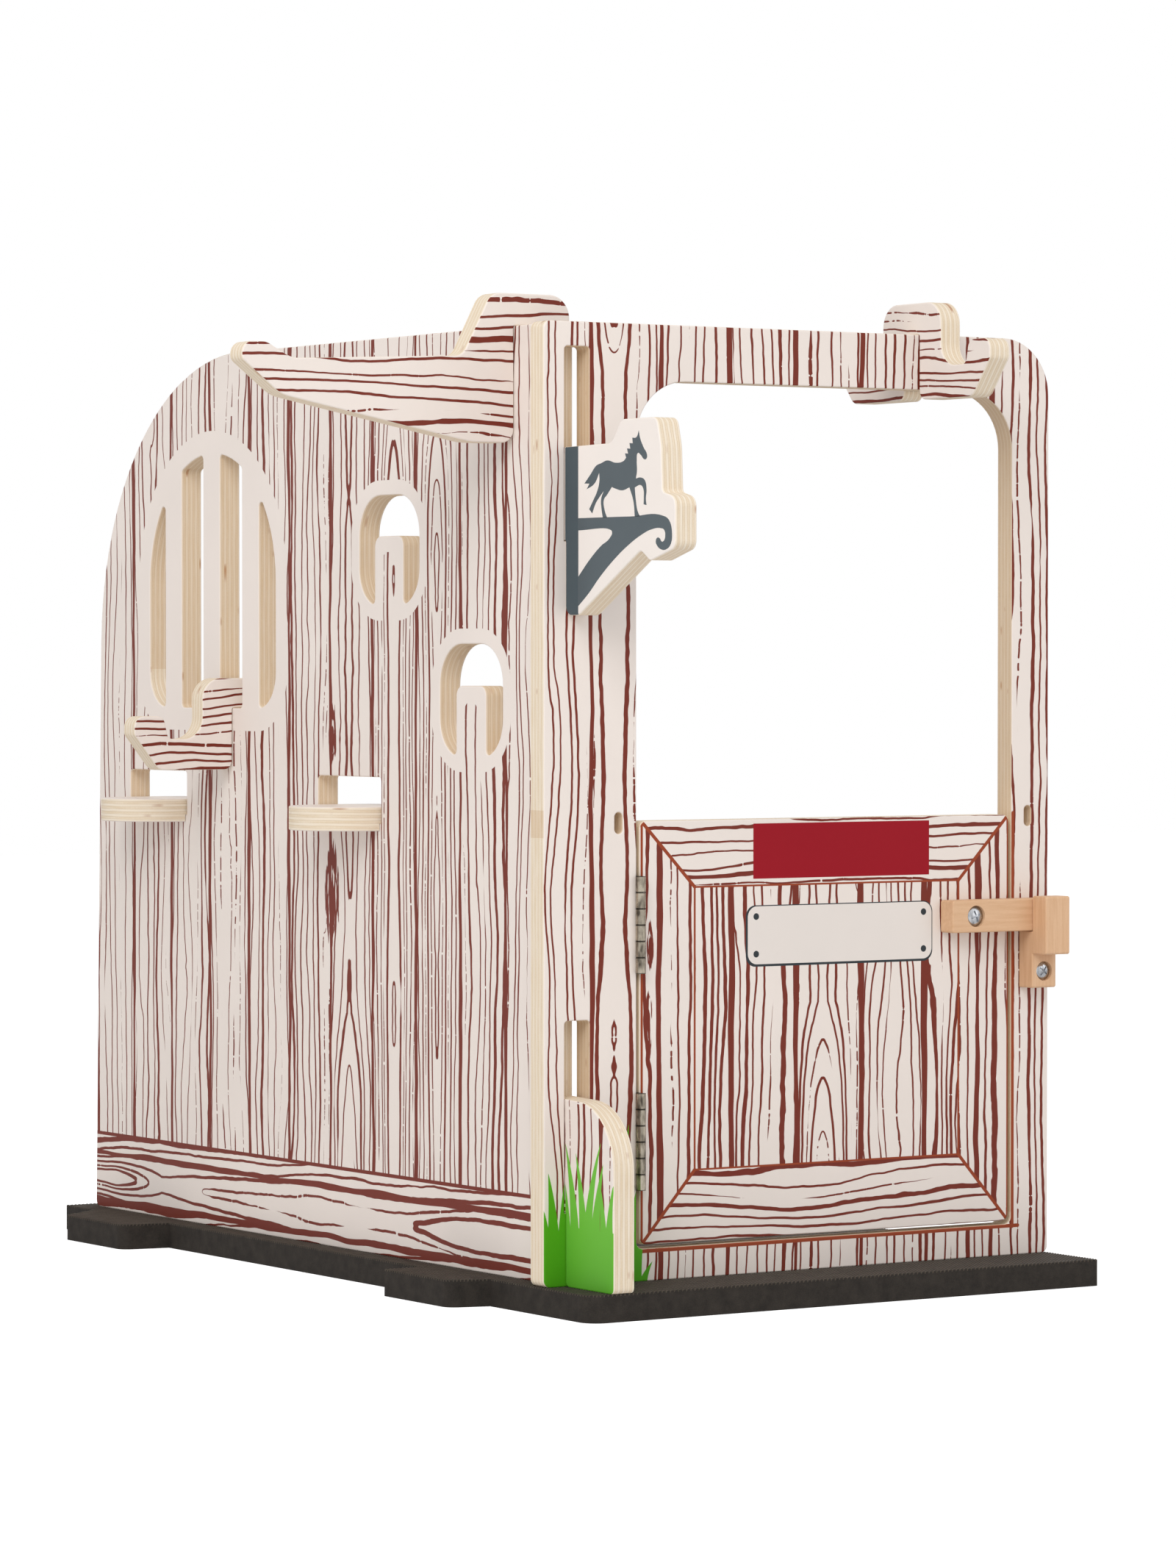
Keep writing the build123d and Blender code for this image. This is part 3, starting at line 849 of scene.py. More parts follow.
@dataclass(frozen=True)
class SideWallPrint:
    """Print of the side wall: boards with knots, kick board, pale borders, sign and buttress."""

    boards: Boards = Boards(
        56.7, 44.8, 6.4, 1.3, 0.8, 1.35, 17.0,
        knots=(Knot(234.0, 192.0, 12.0, 33.0), Knot(233.5, 278.0, 6.5, 18.0)),
        arches=(Arch(216.0, 128.0, 13.0, 95.0, 3.2), Arch(125.0, 455.0, 12.0, 80.0, 2.4),
                Arch(169.0, 474.0, 13.0, 60.0, 2.6)),
    )
    kick: Boards = Boards(5.0, 27.3, 5.4, 2.0, 0.8, 1.6, 8.0, 0.035, arches=(Arch(18.5, 428.0, 8.0, -55.0, 3.0),))
    kick_board: float = 43.3
    window: Point = (368.3, 362.2)
    window_radius: float = 85.0
    window_sill: float = 279.1
    window_foot_radius: float = 32.0
    window_cut_middle: float = 363.0
    window_cut: Rounded = ((75.0, 75.0), 40.0)
    horseshoes: tuple[Point, ...] = ((174.1, 347.5), (91.0, 268.0))
    horseshoe_middle: float = 29.4
    horseshoe_border: Rounded = ((39.0, 37.4), 29.0)
    horseshoe_tongue: Rounded = ((6.4, 30.5), 5.0)
    horseshoe_cut: Rounded = ((33.0, 31.0), 4.0)
    shelf_slots_middle: Point = (325.0, 243.5)
    shelf_slots: Rounded = ((144.0, 12.0), 2.0)
    # Strength of the painted shade on the cut edges.
    tan: float = 0.25
    sign_foot: float = 320.0
    sign_bar: float = 12.2
    grass_foot: float = 31.0
    blades: tuple[Blade, ...] = (
        Blade(1.2, -0.8, 55.0, 4.2), Blade(8.8, 0.2, 73.0, 4.2), Blade(16.8, 9.8, 69.0, 4.0),
        Blade(21.0, 33.0, 75.5, 4.2), Blade(28.0, 35.2, 65.0, 4.4), Blade(35.4, 32.3, 54.5, 3.4),
        Blade(40.6, 44.4, 55.0, 3.6),
    )

    def borders(self, sheet: Sheet) -> Field:
        """Mask of the unprinted borders round the window and the horseshoe openings.

        Args:
            sheet: The wall's surface.

        Returns:
            The mask.
        """
        _, y, z = sheet.places
        centre, spring = self.window
        radius = self.window_radius
        arch = sheet.outline(y, z, (centre, spring), (radius, radius), radius)
        half = (spring + 20.0 - self.window_sill) / 2
        foot = sheet.outline(y, z, (centre, self.window_sill + half), (radius, half), self.window_foot_radius)
        masks = [arch.inside(), foot.inside() * z.inside(spring)]
        for middle, bottom in self.horseshoes:
            ring = sheet.outline(y, z, (middle, bottom + self.horseshoe_middle), *self.horseshoe_border)
            tongue = sheet.outline(y, z, (middle, bottom - 2.0), *self.horseshoe_tongue)
            masks.append(ring.inside() * (1.0 - tongue.inside()))
        return sheet.bench.highest(masks)

    def openings(self, sheet: Sheet) -> Field:
        """Mask of the window, the horseshoes and the shelf slots, whose cut edges get a painted shade of brown.

        Args:
            sheet: The wall's surface.

        Returns:
            The mask.
        """
        _, y, z = sheet.places
        shapes = [((self.window[0], self.window_cut_middle), self.window_cut),
                  (self.shelf_slots_middle, self.shelf_slots)]
        for middle, bottom in self.horseshoes:
            shapes.append(((middle, bottom + self.horseshoe_middle), self.horseshoe_cut))
        return sheet.bench.highest([sheet.outline(y, z, centre, *shape).inside() for centre, shape in shapes])

    def draw(self, sheet: Sheet) -> None:
        """Draw the print.

        Args:
            sheet: The wall's surface.
        """
        bench = sheet.bench
        _, y, z = sheet.places
        on_wall = (-y).inside()
        forward = y.inside()
        low = z.inside(self.kick_board) * on_wall
        rail = abs(z - self.kick_board).inside(1.0) * on_wall
        boards = bench.mix(low, sheet.boards(y, z, self.boards), sheet.boards(z, y, self.kick))
        sheet.paint(bench.higher(boards, rail) * (1.0 - self.borders(sheet)), Ink.BROWN)
        sign = forward * (-z).inside(-self.sign_foot)
        sheet.paint(sign, Ink.SIGN_CREAM)
        sheet.paint(sign * (-y).inside(self.sign_bar), Ink.SLATE)
        # The buttress's grass takes the lighter copy of the green, as a painted sheen.
        sheet.paint_grass(sheet.grass(-y, z, self.grass_foot, self.blades) * forward, z, Ink.MEADOW)
        # Painted shade on the cut edges of the window, the horseshoes and the shelf slots.
        sheet.tanned = self.openings(sheet) * self.tan


@dataclass(frozen=True)
class DoorPrint:
    """Print of the half door: a mitred frame round upright boards, and two plates."""

    left: float = 59.6
    right: float = 293.6
    bottom: float = 19.4
    top: float = 235.4
    side: float = 32.5
    top_rail: float = 33.8
    bottom_rail: float = 36.4
    panel: Boards = Boards(114.6, 41.5, 5.8, 1.5, 0.5, 1.5, 2.6, arches=(Arch(173.0, 140.0, 14.0, 110.0, 4.6),))
    stiles: Boards = Boards(
        70.5, 203.0, 6.6, 1.5, 0.3, 1.5, 12.0,
        knots=(Knot(64.5, 172.0, 3.0, 15.0), Knot(64.0, 132.0, 3.5, 22.0)),
    )
    rails: Boards = Boards(-40.0, 400.0, 5.6, 1.35, 0.9, 0.0, 23.0)
    mitre_line: float = 0.95
    rail_line: float = 0.5
    stile_line: float = 0.6
    edge_line: float = 0.7
    red_plate: Plate = Plate(128.7, 241.7, 205.0, 233.7, 0.3, Ink.RED)
    name_plate: Plate = Plate(125.0, 243.7, 160.3, 191.0, 6.0, Ink.PLATE)
    plate_line: float = 0.6
    plate_line_shift: Point = (-0.4, -0.35)
    plate_inset: float = 0.3
    stud: float = 1.75
    stud_inset: float = 5.6

    def draw(self, sheet: Sheet) -> None:
        """Draw the print.

        Args:
            sheet: The door's surface.
        """
        bench = sheet.bench
        x, _, z = sheet.places
        upper = bench.lower((z - self.bottom) / self.bottom_rail, (self.top - z) / self.top_rail)
        sideways = bench.lower((x - self.left) / self.side, (self.right - x) / self.side)
        framed = bench.lower(upper, sideways).inside(1.0, soft=0.01)
        on_rail = upper.inside(sideways, soft=0.01)
        frame = bench.mix(on_rail, sheet.boards(x, z, self.stiles), sheet.boards(z, x, self.rails))
        sheet.paint(bench.mix(framed, sheet.boards(x, z, self.panel), frame), Ink.BROWN)
        self.lines(sheet)
        self.plates(sheet)

    def lines(self, sheet: Sheet) -> None:
        """Draw the mitres, the panel's outline and the door's two upright edges.

        Args:
            sheet: The door's surface.
        """
        x, _, z = sheet.places
        sides = ((self.left, self.left + self.side), (self.right, self.right - self.side))
        levels = ((self.bottom, self.bottom + self.bottom_rail), (self.top, self.top - self.top_rail))
        (_, near), (_, far) = sides
        (_, low), (_, high) = levels
        lines = [((side[0], level[0]), (side[1], level[1]), self.mitre_line) for side in sides for level in levels]
        lines += [((near, level), (far, level), self.rail_line) for level in (low, high)]
        lines += [((side, low), (side, high), self.stile_line) for side in (near, far)]
        for edge in (self.left - 0.2, self.right + 0.2):
            lines.append(((edge, self.bottom), (edge, self.top), self.edge_line))
        masks = [sheet.line(x, z, start, end).inside(half) for start, end, half in lines]
        sheet.paint(sheet.bench.highest(masks), Ink.ORANGE_BROWN)

    def plates(self, sheet: Sheet) -> None:
        """Draw the plain red plate and the name plate with its line and four studs.

        Args:
            sheet: The door's surface.
        """
        x, _, z = sheet.places
        front = sheet.depth.inside(SHEET / 2)
        for plate in (self.red_plate, self.name_plate):
            centre = ((plate.left + plate.right) / 2, (plate.low + plate.high) / 2)
            half = ((plate.right - plate.left) / 2, (plate.high - plate.low) / 2)
            distance = sheet.outline(x, z, centre, half, plate.radius)
            if plate is self.name_plate:
                around = (half[0] + self.plate_line, half[1] + self.plate_line)
                shifted = (centre[0] + self.plate_line_shift[0], centre[1] + self.plate_line_shift[1])
                line = sheet.outline(x, z, shifted, around, plate.radius)
                sheet.paint(front * line.inside(), Ink.PLATE_LINE)
                distance = distance + self.plate_inset
            sheet.paint(front * distance.inside(), plate.ink)
        plate, inset, size = self.name_plate, self.stud_inset, self.stud
        studs = []
        for across in (plate.left + inset, plate.right - inset):
            for height in (plate.low + inset, plate.high - inset):
                studs.append(sheet.outline(x, z, (across, height), (size, size), size).inside())
        sheet.paint(front * sheet.bench.highest(studs), Ink.PLATE_LINE)


@dataclass(frozen=True)
class HookPrint:
    """Print of a hung-in piece: level grain lines on both faces."""

    along: Axis
    boards: Boards

    def draw(self, sheet: Sheet) -> None:
        """Draw the print on a sheet."""
        level = sheet.boards(sheet.places[Axis.Z.value], sheet.places[self.along.value], self.boards)
        sheet.paint(level, Ink.BROWN)


def plain_print(sheet: Sheet) -> None:
    """Leave a sheet's faces in the plain ground colour."""
    sheet.paint(0.0, Ink.CREAM)


@dataclass(frozen=True)
class Finish:
    """A material by name, whose kinds each wire their own surface."""

    name: str

    def make(self) -> bpy.types.Material:
        """Build the material.

        Returns:
            The finished material.
        """
        material = bpy.data.materials.new(self.name)
        material.use_nodes = True
        self.shade(Bench(material.node_tree))
        return material

    def shade(self, bench: Bench) -> None:
        """Wire the surface; each kind of finish has its own way."""
        raise NotImplementedError


@dataclass(frozen=True)
class PrintedPly(Finish):
    """Finish of a plywood piece: its print on both faces and its bare layered edges."""

    groups: Groups
    thin: Axis
    outer: float
    draw: Callable[[Sheet], None]
    seed: float
    ink_rim: float = 0.35
    gloss: float = 0.42

    def shade(self, bench: Bench) -> None:
        """Wire the surface.

        Args:
            bench: The material's bench.
        """
        places = bench.millimetres()
        depth = places[self.thin.value] - self.outer
        face = bench.lower(depth, SHEET - depth).inside(self.ink_rim)
        sheet = Sheet(bench, self.groups, places, depth)
        self.draw(sheet)
        first, second = (spot for axis, spot in enumerate(places) if axis != self.thin.value)
        edge = bench.use(self.groups.ply, depth=depth, first=first, second=second, seed=self.seed)
        # The bare edge is browned by painted shade where the mask marks an opening.
        bare = bench.blend(sheet.tanned, edge["Color"], Wood.CUT_BROWN)
        tint = bench.noise(*places, scale=0.02, detail=3).scaled(0.08, 0.955)
        printed = bench.field("ShaderNodeVectorMath", {0: sheet.colour, "Scale": tint}, operation="SCALE")
        bench.surface({
            "Base Color": bench.blend(face, bare, printed),
            "Roughness": bench.mix(face, edge["Roughness"], self.gloss),
            "Specular IOR Level": 0.16,
        })
        bench.bump(edge["Height"] * (1.0 - face), 0.12 * MM, 0.6)


@dataclass(frozen=True)
class Beech(Finish):
    """Sanded beech with fine flecks along its grain."""

    along: Axis
    seed: float

    def grain(self, bench: Bench, places: Sequence[Field], along: float, across: float, seed: float,
              **looks: float) -> Field:
        """Noise that is drawn out along the grain.

        Args:
            bench: The material's bench.
            places: Places along the three axes.
            along: Scale along the grain.
            across: Scale across the grain.
            seed: Shift on the last axis.
            looks: The noise's detail and roughness.

        Returns:
            The noise.
        """
        x, y, z = (spot.scaled(along if axis == self.along.value else across) for axis, spot in enumerate(places))
        return bench.noise(x, y, z + seed, **looks)

    def shade(self, bench: Bench) -> None:
        """Wire the surface.

        Args:
            bench: The material's bench.
        """
        places = bench.millimetres()
        figure = self.grain(bench, places, 0.035, 0.5, self.seed, detail=4, rough=0.6)
        fleck = self.grain(bench, places, 0.5, 4.0, self.seed + 4.0, detail=2)
        tone = bench.math("ADD", figure.scaled(1.6, -0.4), fleck.scaled(0.5, -0.25), clamp=True)
        bench.surface({
            "Base Color": bench.blend(tone, Wood.BEECH_LIGHT, Wood.BEECH_DARK),
            "Roughness": fleck.scaled(0.2, 0.4),
        })
        bench.bump(fleck, 0.05 * MM, 0.5)


@dataclass(frozen=True)
class Steel(Finish):
    """Plated steel, with dulled patches and fine scratches."""

    bright: Colour
    dull: Colour
    smooth: float
    worn: float
    patches: float = 0.5
    knuckles: tuple[float, ...] = ()
    hinge_half: float = 25.0
    knuckle_pitch: float = 50.0 / 6
    joint: float = 0.42
    # Painted shade in the gaps between a hinge's knuckles.
    dirt: Colour = linear(30, 26, 22)

    def joints(self, bench: Bench, height: Field) -> Value:
        """Mask of the painted shade in the joints between a hinge's knuckles.

        Args:
            bench: The material's bench.
            height: Height on the hinge, in millimetres.

        Returns:
            The mask over all hinges, which are known by the heights of their middles.
        """
        masks = []
        for middle in self.knuckles:
            share = height.scaled(1 / self.knuckle_pitch, (self.hinge_half - middle) / self.knuckle_pitch)
            off = abs(share - bench.math("ROUND", share)) * self.knuckle_pitch
            on_hinge = abs(height - middle).inside(self.hinge_half + 1.0)
            masks.append(off.inside(self.joint, soft=0.3) * on_hinge)
        return bench.highest(masks) * 0.85 if masks else 0.0

    def shade(self, bench: Bench) -> None:
        """Wire the surface.

        Args:
            bench: The material's bench.
        """
        x, y, z = bench.millimetres()
        patch = bench.noise(x, y, z.scaled(0.4), scale=self.patches, detail=2)
        scratch = bench.noise(x.scaled(1.2), y.scaled(1.2), z.scaled(0.2), detail=2)
        tone = patch.scaled(3.0, -1.1, clamp=True)
        colour = bench.blend(tone, self.bright, self.dull)
        # The joints between the knuckles get painted shade.
        bench.surface({
            "Metallic": 1.0,
            "Base Color": bench.blend(self.joints(bench, z), colour, self.dirt),
            "Roughness": tone.scaled(self.worn, self.smooth) + scratch.scaled(0.08, -0.04),
        })
        bench.bump(patch + scratch, 0.02 * MM, 0.3)


@dataclass(frozen=True)
class Foam(Finish):
    """Dark closed-cell foam."""

    dark: Colour
    light: Colour

    def shade(self, bench: Bench) -> None:
        """Wire the surface.

        Args:
            bench: The material's bench.
        """
        places = bench.millimetres()
        cells = bench.noise(*places, scale=1.6, detail=3, rough=0.6)
        cloud = bench.noise(*places, scale=0.14, detail=4, rough=0.6)
        tone = bench.math("ADD", cells.scaled(0.9, -0.25), cloud.scaled(1.3, -0.55), clamp=True)
        bench.surface({
            "Base Color": bench.blend(tone, self.dark, self.light),
            "Roughness": cells.scaled(0.2, 0.68),
            "Specular IOR Level": 0.2,
        })
        bench.bump(cells, 0.2 * MM, 0.5)


@dataclass(frozen=True)
class PlainInk(Finish):
    """A single printed colour with the sheet's satin lacquer over it."""

    ink: Ink

    def shade(self, bench: Bench) -> None:
        """Wire the surface.

        Args:
            bench: The material's bench.
        """
        cloud = bench.noise(*bench.millimetres(), scale=0.05, detail=3)
        darker = (*(channel * 0.9 for channel in self.ink.value[:3]), 1.0)
        bench.surface({
            "Base Color": bench.blend(cloud, self.ink, darker),
            "Roughness": cloud.scaled(0.06, 0.38),
        })


class NodeTool(Tree):
    """A Geometry Nodes tree with named inputs, which makes a plain mesh."""

    def __init__(self, name: str, inputs: dict[str, tuple[str, object]]) -> None:
        """Start a tree with a geometry input, named inputs and a geometry output.

        Args:
            name: The tree's name.
            inputs: Socket types and default values by name.
        """
        super().__init__(bpy.data.node_groups.new(name, "GeometryNodeTree"))
        self.socket("Geometry", "INPUT", "Geometry")
        for label, (kind, default) in inputs.items():
            self.socket(label, "INPUT", kind, default)
        self.socket("Geometry", "OUTPUT", "Geometry")
        self.entry = self.add("NodeGroupInput").outputs
        self.exit = self.add("NodeGroupOutput")

    def math(self, operation: str, first: object, second: object) -> Socket:
        """Add a Math node and return its result."""
        return self.add("ShaderNodeMath", {0: first, 1: second}, operation=operation).outputs[0]

    def vector(self, x: object = 0.0, y: object = 0.0, z: object = 0.0) -> Socket:
        """Make a vector of three values."""
        return self.add("ShaderNodeCombineXYZ", {0: x, 1: y, 2: z}).outputs[0]

    def moved(self, shape: bpy.types.Node, **changes: object) -> bpy.types.Node:
        """Give a node's shape a Translation, Rotation or Scale."""
        return self.add("GeometryNodeTransform", {0: shape.outputs[0], **changes})

    def close(self, shape: bpy.types.Node) -> None:
        """End the tree in Realize Instances and Set Material, whose input is named Material."""
        real = self.add("GeometryNodeRealizeInstances", {0: shape.outputs[0]})
        dressed = self.add("GeometryNodeSetMaterial", {0: real.outputs[0], "Material": self.entry["Material"]})
        self.feed(self.exit.inputs[0], dressed.outputs[0])

    def run(self, mesh: bpy.types.Mesh, name: str, values: dict[str, object]) -> bpy.types.Object:
        """Run the tree on a mesh and keep the result as a plain mesh object.

        Args:
            mesh: The mesh that goes in.
            name: The new piece's name.
            values: Values of the named inputs.

        Returns:
            A linked object with the resulting mesh and no modifier.
        """
        source = linked(name + "_source", mesh)
        modifier = source.modifiers.new("shape", "NODES")
        modifier.node_group = self.tree
        for item in self.tree.interface.items_tree:
            if item.item_type == "SOCKET" and item.in_out == "INPUT" and item.name in values:
                modifier[item.identifier] = values[item.name]
        made = evaluated_mesh(source)
        made.name = name
        return linked(name, made)


def linked(name: str, data: bpy.types.ID) -> bpy.types.Object:
    """Put a mesh, curve, lamp or camera into the scene as an object.

    Args:
        name: The object's name.
        data: What it shows.

    Returns:
        The new object, at the origin.
    """
    item = bpy.data.objects.new(name, data)
    bpy.context.scene.collection.objects.link(item)
    return item


def evaluated_mesh(source: bpy.types.Object) -> bpy.types.Mesh:
    """Turn a helper object's evaluated shape into a plain mesh and remove the helper.

    Args:
        source: A linked object, with its modifiers.

    Returns:
        The mesh.
    """
    made = bpy.data.meshes.new_from_object(source.evaluated_get(bpy.context.evaluated_depsgraph_get()))
    bpy.data.objects.remove(source)
    return made


def close_mesh(mesh: bpy.types.Mesh, join: float = 0.001 * MM) -> None:
    """Merge doubled vertices and turn all faces outwards.

    Args:
        mesh: The mesh.
        join: Greatest distance between two vertices that are one, in metres.
    """
    work = bmesh.new()
    work.from_mesh(mesh)
    bmesh.ops.remove_doubles(work, verts=work.verts, dist=join)
    bmesh.ops.recalc_face_normals(work, faces=work.faces)
    work.to_mesh(mesh)
    work.free()


def dress(piece: bpy.types.Object, material: bpy.types.Material) -> None:
    """Give a piece its only finish and report it."""
    piece.data.materials.clear()
    piece.data.materials.append(material)
    log.info("dressed %s in %s", piece.name, material.name)


@dataclass
class Walls:
    """The two walls and the half door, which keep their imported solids."""

    front: FrontWallPrint = field(default_factory=FrontWallPrint)
    side: SideWallPrint = field(default_factory=SideWallPrint)
    door: DoorPrint = field(default_factory=DoorPrint)
    side_outer: float = 12.9

    def dress(self, nodes: dict[str, bpy.types.Object], groups: Groups) -> None:
        """Print the walls and the door.

        Args:
            nodes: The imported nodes.
            groups: The shared shader node groups.
        """
        for name, thin, outer, draw, seed in (
            ("front_wall", Axis.Y, 0.0, self.front.draw, 3.0),
            ("side_wall", Axis.X, self.side_outer, self.side.draw, 11.0),
            ("door", Axis.Y, 0.0, self.door.draw, 19.0),
        ):
            dress(nodes[name], PrintedPly(f"{name}_print", groups, thin, outer, draw, seed).make())


@dataclass
class HungPieces:
    """Hooks, saddle rack and shelves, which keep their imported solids."""

    rail_hook: float = 234.5
    window_hook: float = 343.6
    rack: float = 48.15
    shelf: float = 227.0

    def dress(self, nodes: dict[str, bpy.types.Object], groups: Groups) -> None:
        """Print the hung pieces.

        Args:
            nodes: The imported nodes.
            groups: The shared shader node groups.
        """
        rail = HookPrint(Axis.Y, Boards(0.0, 900.0, 5.4, 1.4, 1.2, 0.0, 5.0))
        window = HookPrint(Axis.X, Boards(0.0, 900.0, 5.4, 1.5, 1.2, 0.0, 9.0))
        rack = HookPrint(Axis.X, Boards(0.0, 900.0, 6.4, 1.5, 1.2, 0.0, 14.0))
        for name, thin, outer, draw, seed in (
            ("rail_hook", Axis.X, self.rail_hook, rail.draw, 23.0),
            ("window_hook", Axis.Y, self.window_hook, window.draw, 29.0),
            ("saddle_rack", Axis.Y, self.rack, rack.draw, 31.0),
            ("front_shelf", Axis.Z, self.shelf, plain_print, 37.0),
            ("rear_shelf", Axis.Z, self.shelf, plain_print, 41.0),
        ):
            dress(nodes[name], PrintedPly(f"{name}_print", groups, thin, outer, draw, seed).make())


@dataclass
class Fittings:
    """Hinges, screws and the wooden latch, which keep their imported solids."""

    hinge: Steel = Steel("hinge_steel", linear(196, 186, 168), linear(84, 77, 68), 0.2, 0.2, 0.35, (72.0, 183.0))
    screw: Steel = Steel("screw_steel", linear(214, 216, 220), linear(150, 152, 156), 0.14, 0.18)
    arm: Beech = Beech("arm_beech", Axis.X, 2.0)
    keeper: Beech = Beech("keeper_beech", Axis.Z, 7.0)

    def dress(self, nodes: dict[str, bpy.types.Object]) -> bpy.types.Material:
        """Finish the metal and the beech.

        Args:
            nodes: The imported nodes.

        Returns:
            The screws' steel.
        """
        hinge, screw = self.hinge.make(), self.screw.make()
        for name in nodes:
            if "hinge" in name:
                dress(nodes[name], hinge)
        for name in ("wall_leaf_screws", "door_leaf_screws", "latch_screw", "keeper_screw"):
            dress(nodes[name], screw)
        dress(nodes["latch_arm"], self.arm.make())
        dress(nodes["latch_keeper"], self.keeper.make())
        return screw


@dataclass
class Sign:
    """Printed bracket and trotting horse on both faces of the hanging sign.

    Outlines are given forwards from the wall's face and upwards from the mat. A third
    value of 0 marks a sharp corner and 1 a smooth one.
    """

    faces: Point = (12.9, 25.9)
    film: float = 0.05
    sunk_share: float = 0.4
    smooth_steps: int = 8
    bar_top: float = 389.6
    horse_left: float = 16.4
    bracket: tuple[tuple[float, float, int], ...] = (
        (12.0, 389.9, 0), (60.0, 389.7, 1), (90.0, 389.3, 1), (95.0, 386.8, 1), (97.3, 381.0, 1),
        (96.2, 375.4, 1), (92.0, 372.8, 1), (87.6, 372.9, 1), (84.2, 374.7, 1), (82.9, 377.0, 1),
        (84.2, 378.7, 1), (86.6, 378.2, 1), (88.0, 376.8, 1), (90.2, 377.2, 1), (91.3, 379.8, 1),
        (90.4, 382.4, 1), (87.6, 383.3, 1), (79.0, 382.9, 1), (70.0, 380.4, 1), (58.0, 375.4, 1),
        (45.0, 368.4, 1), (32.0, 359.8, 1), (22.0, 352.0, 1), (12.0, 345.4, 0),
    )
    bracket_hole: tuple[tuple[float, float, int], ...] = (
        (12.3, 383.7, 0), (41.0, 383.7, 1), (43.4, 382.2, 1), (41.6, 379.6, 1), (33.0, 375.4, 1),
        (22.0, 368.2, 1), (12.3, 360.4, 0),
    )
    horse: tuple[tuple[float, float, int], ...] = (
        (17.2, 27.4, 1), (22.5, 28.6, 1), (30.5, 27.2, 1), (37.5, 27.9, 1), (39.8, 29.4, 0),
        (38.8, 31.6, 0), (41.6, 31.4, 0), (40.6, 34.0, 0), (43.6, 33.8, 0), (42.8, 36.6, 0),
        (45.8, 36.4, 0), (45.4, 39.2, 0), (49.2, 39.4, 1), (51.2, 42.6, 0), (52.4, 38.8, 1),
        (55.6, 34.0, 1), (58.6, 30.4, 1), (58.3, 28.6, 1), (56.4, 28.1, 1), (53.0, 30.4, 1),
        (50.3, 31.4, 1), (49.4, 27.4, 1), (49.6, 22.6, 1), (48.6, 18.8, 0), (53.0, 19.2, 1),
        (56.8, 17.6, 1), (58.2, 13.0, 1), (57.6, 8.6, 1), (58.2, 5.4, 0), (55.6, 5.9, 0),
        (55.8, 9.2, 1), (55.4, 13.4, 1), (53.2, 15.4, 1), (47.6, 14.4, 0), (48.6, 8.0, 1),
        (50.0, 3.0, 1), (52.2, 0.0, 0), (47.6, 0.0, 0), (46.4, 7.6, 1), (42.8, 14.6, 0),
        (36.5, 13.3, 1), (30.5, 14.2, 1), (26.8, 15.2, 0), (22.4, 11.4, 1), (19.4, 8.8, 1),
        (20.0, 4.2, 1), (22.4, 0.0, 0), (18.6, 0.0, 0), (17.4, 4.2, 1), (17.0, 9.4, 1),
        (19.4, 13.4, 0), (15.4, 10.4, 1), (12.0, 7.4, 1), (8.8, 2.4, 0), (6.0, 4.6, 0),
        (9.6, 8.8, 1), (13.2, 13.2, 1), (15.4, 18.4, 1), (15.2, 22.6, 0), (11.2, 17.6, 1),
        (3.6, 14.6, 0), (6.2, 17.4, 0), (1.6, 17.6, 0), (7.4, 22.2, 1), (12.4, 26.2, 1),
    )

    def film_mesh(self, outlines: Sequence[Sequence[tuple[float, float, int]]], left: float,
                  foot: float) -> bpy.types.Mesh:
        """Make a thin film of ink inside closed outlines, each inner one a hole.

        Args:
            outlines: Outline points with their corner marks.
            left: Millimetres added forwards.
            foot: Millimetres added upwards.

        Returns:
            The film, lying flat.
        """
        curve = bpy.data.curves.new("sign_outline", "CURVE")
        curve.dimensions = "2D"
        curve.fill_mode = "BOTH"
        curve.resolution_u = self.smooth_steps
        curve.extrude = self.film * MM / 2
        for points in outlines:
            line = curve.splines.new("BEZIER")
            line.bezier_points.add(len(points) - 1)
            line.use_cyclic_u = True
            for knot, (forward, up, smooth) in zip(line.bezier_points, points):
                knot.co = ((forward + left) * MM, (up + foot) * MM, 0.0)
                knot.handle_left_type = knot.handle_right_type = "AUTO" if smooth else "VECTOR"
        return evaluated_mesh(linked("sign_outline", curve))

    def build(self, material: bpy.types.Material) -> None:
        """Build the ink film on both faces and let it ride on the side wall.

        Args:
            material: The ink.
        """
        flat = bpy.data.meshes.new("sign_ink")
        joined = bmesh.new()
        joined.from_mesh(self.film_mesh((self.bracket, self.bracket_hole), 0.0, 0.0))
        joined.from_mesh(self.film_mesh((self.horse,), self.horse_left, self.bar_top))
        joined.to_mesh(flat)
        joined.free()
        turn = Matrix(((0, 0, -1, 0), (-1, 0, 0, 0), (0, 1, 0, 0), (0, 0, 0, 1)))
        sink = self.film * self.sunk_share
        for side, face in (("outer", self.faces[0] - sink), ("inner", self.faces[1] + sink)):
            mesh = flat.copy()
            mesh.transform(Matrix.Translation(place(face, 0.0, 0.0)) @ turn)
            close_mesh(mesh)
            piece = linked(f"sign_ink_{side}", mesh)
            dress(piece, material)
            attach(piece, "side")


@dataclass(frozen=True)
class Screw:
    """One pan-head screw: its node, its body, its recess's turn, and its sizes."""

    node: str
    body: str
    turn: float
    head_height: float
    shank_radius: float


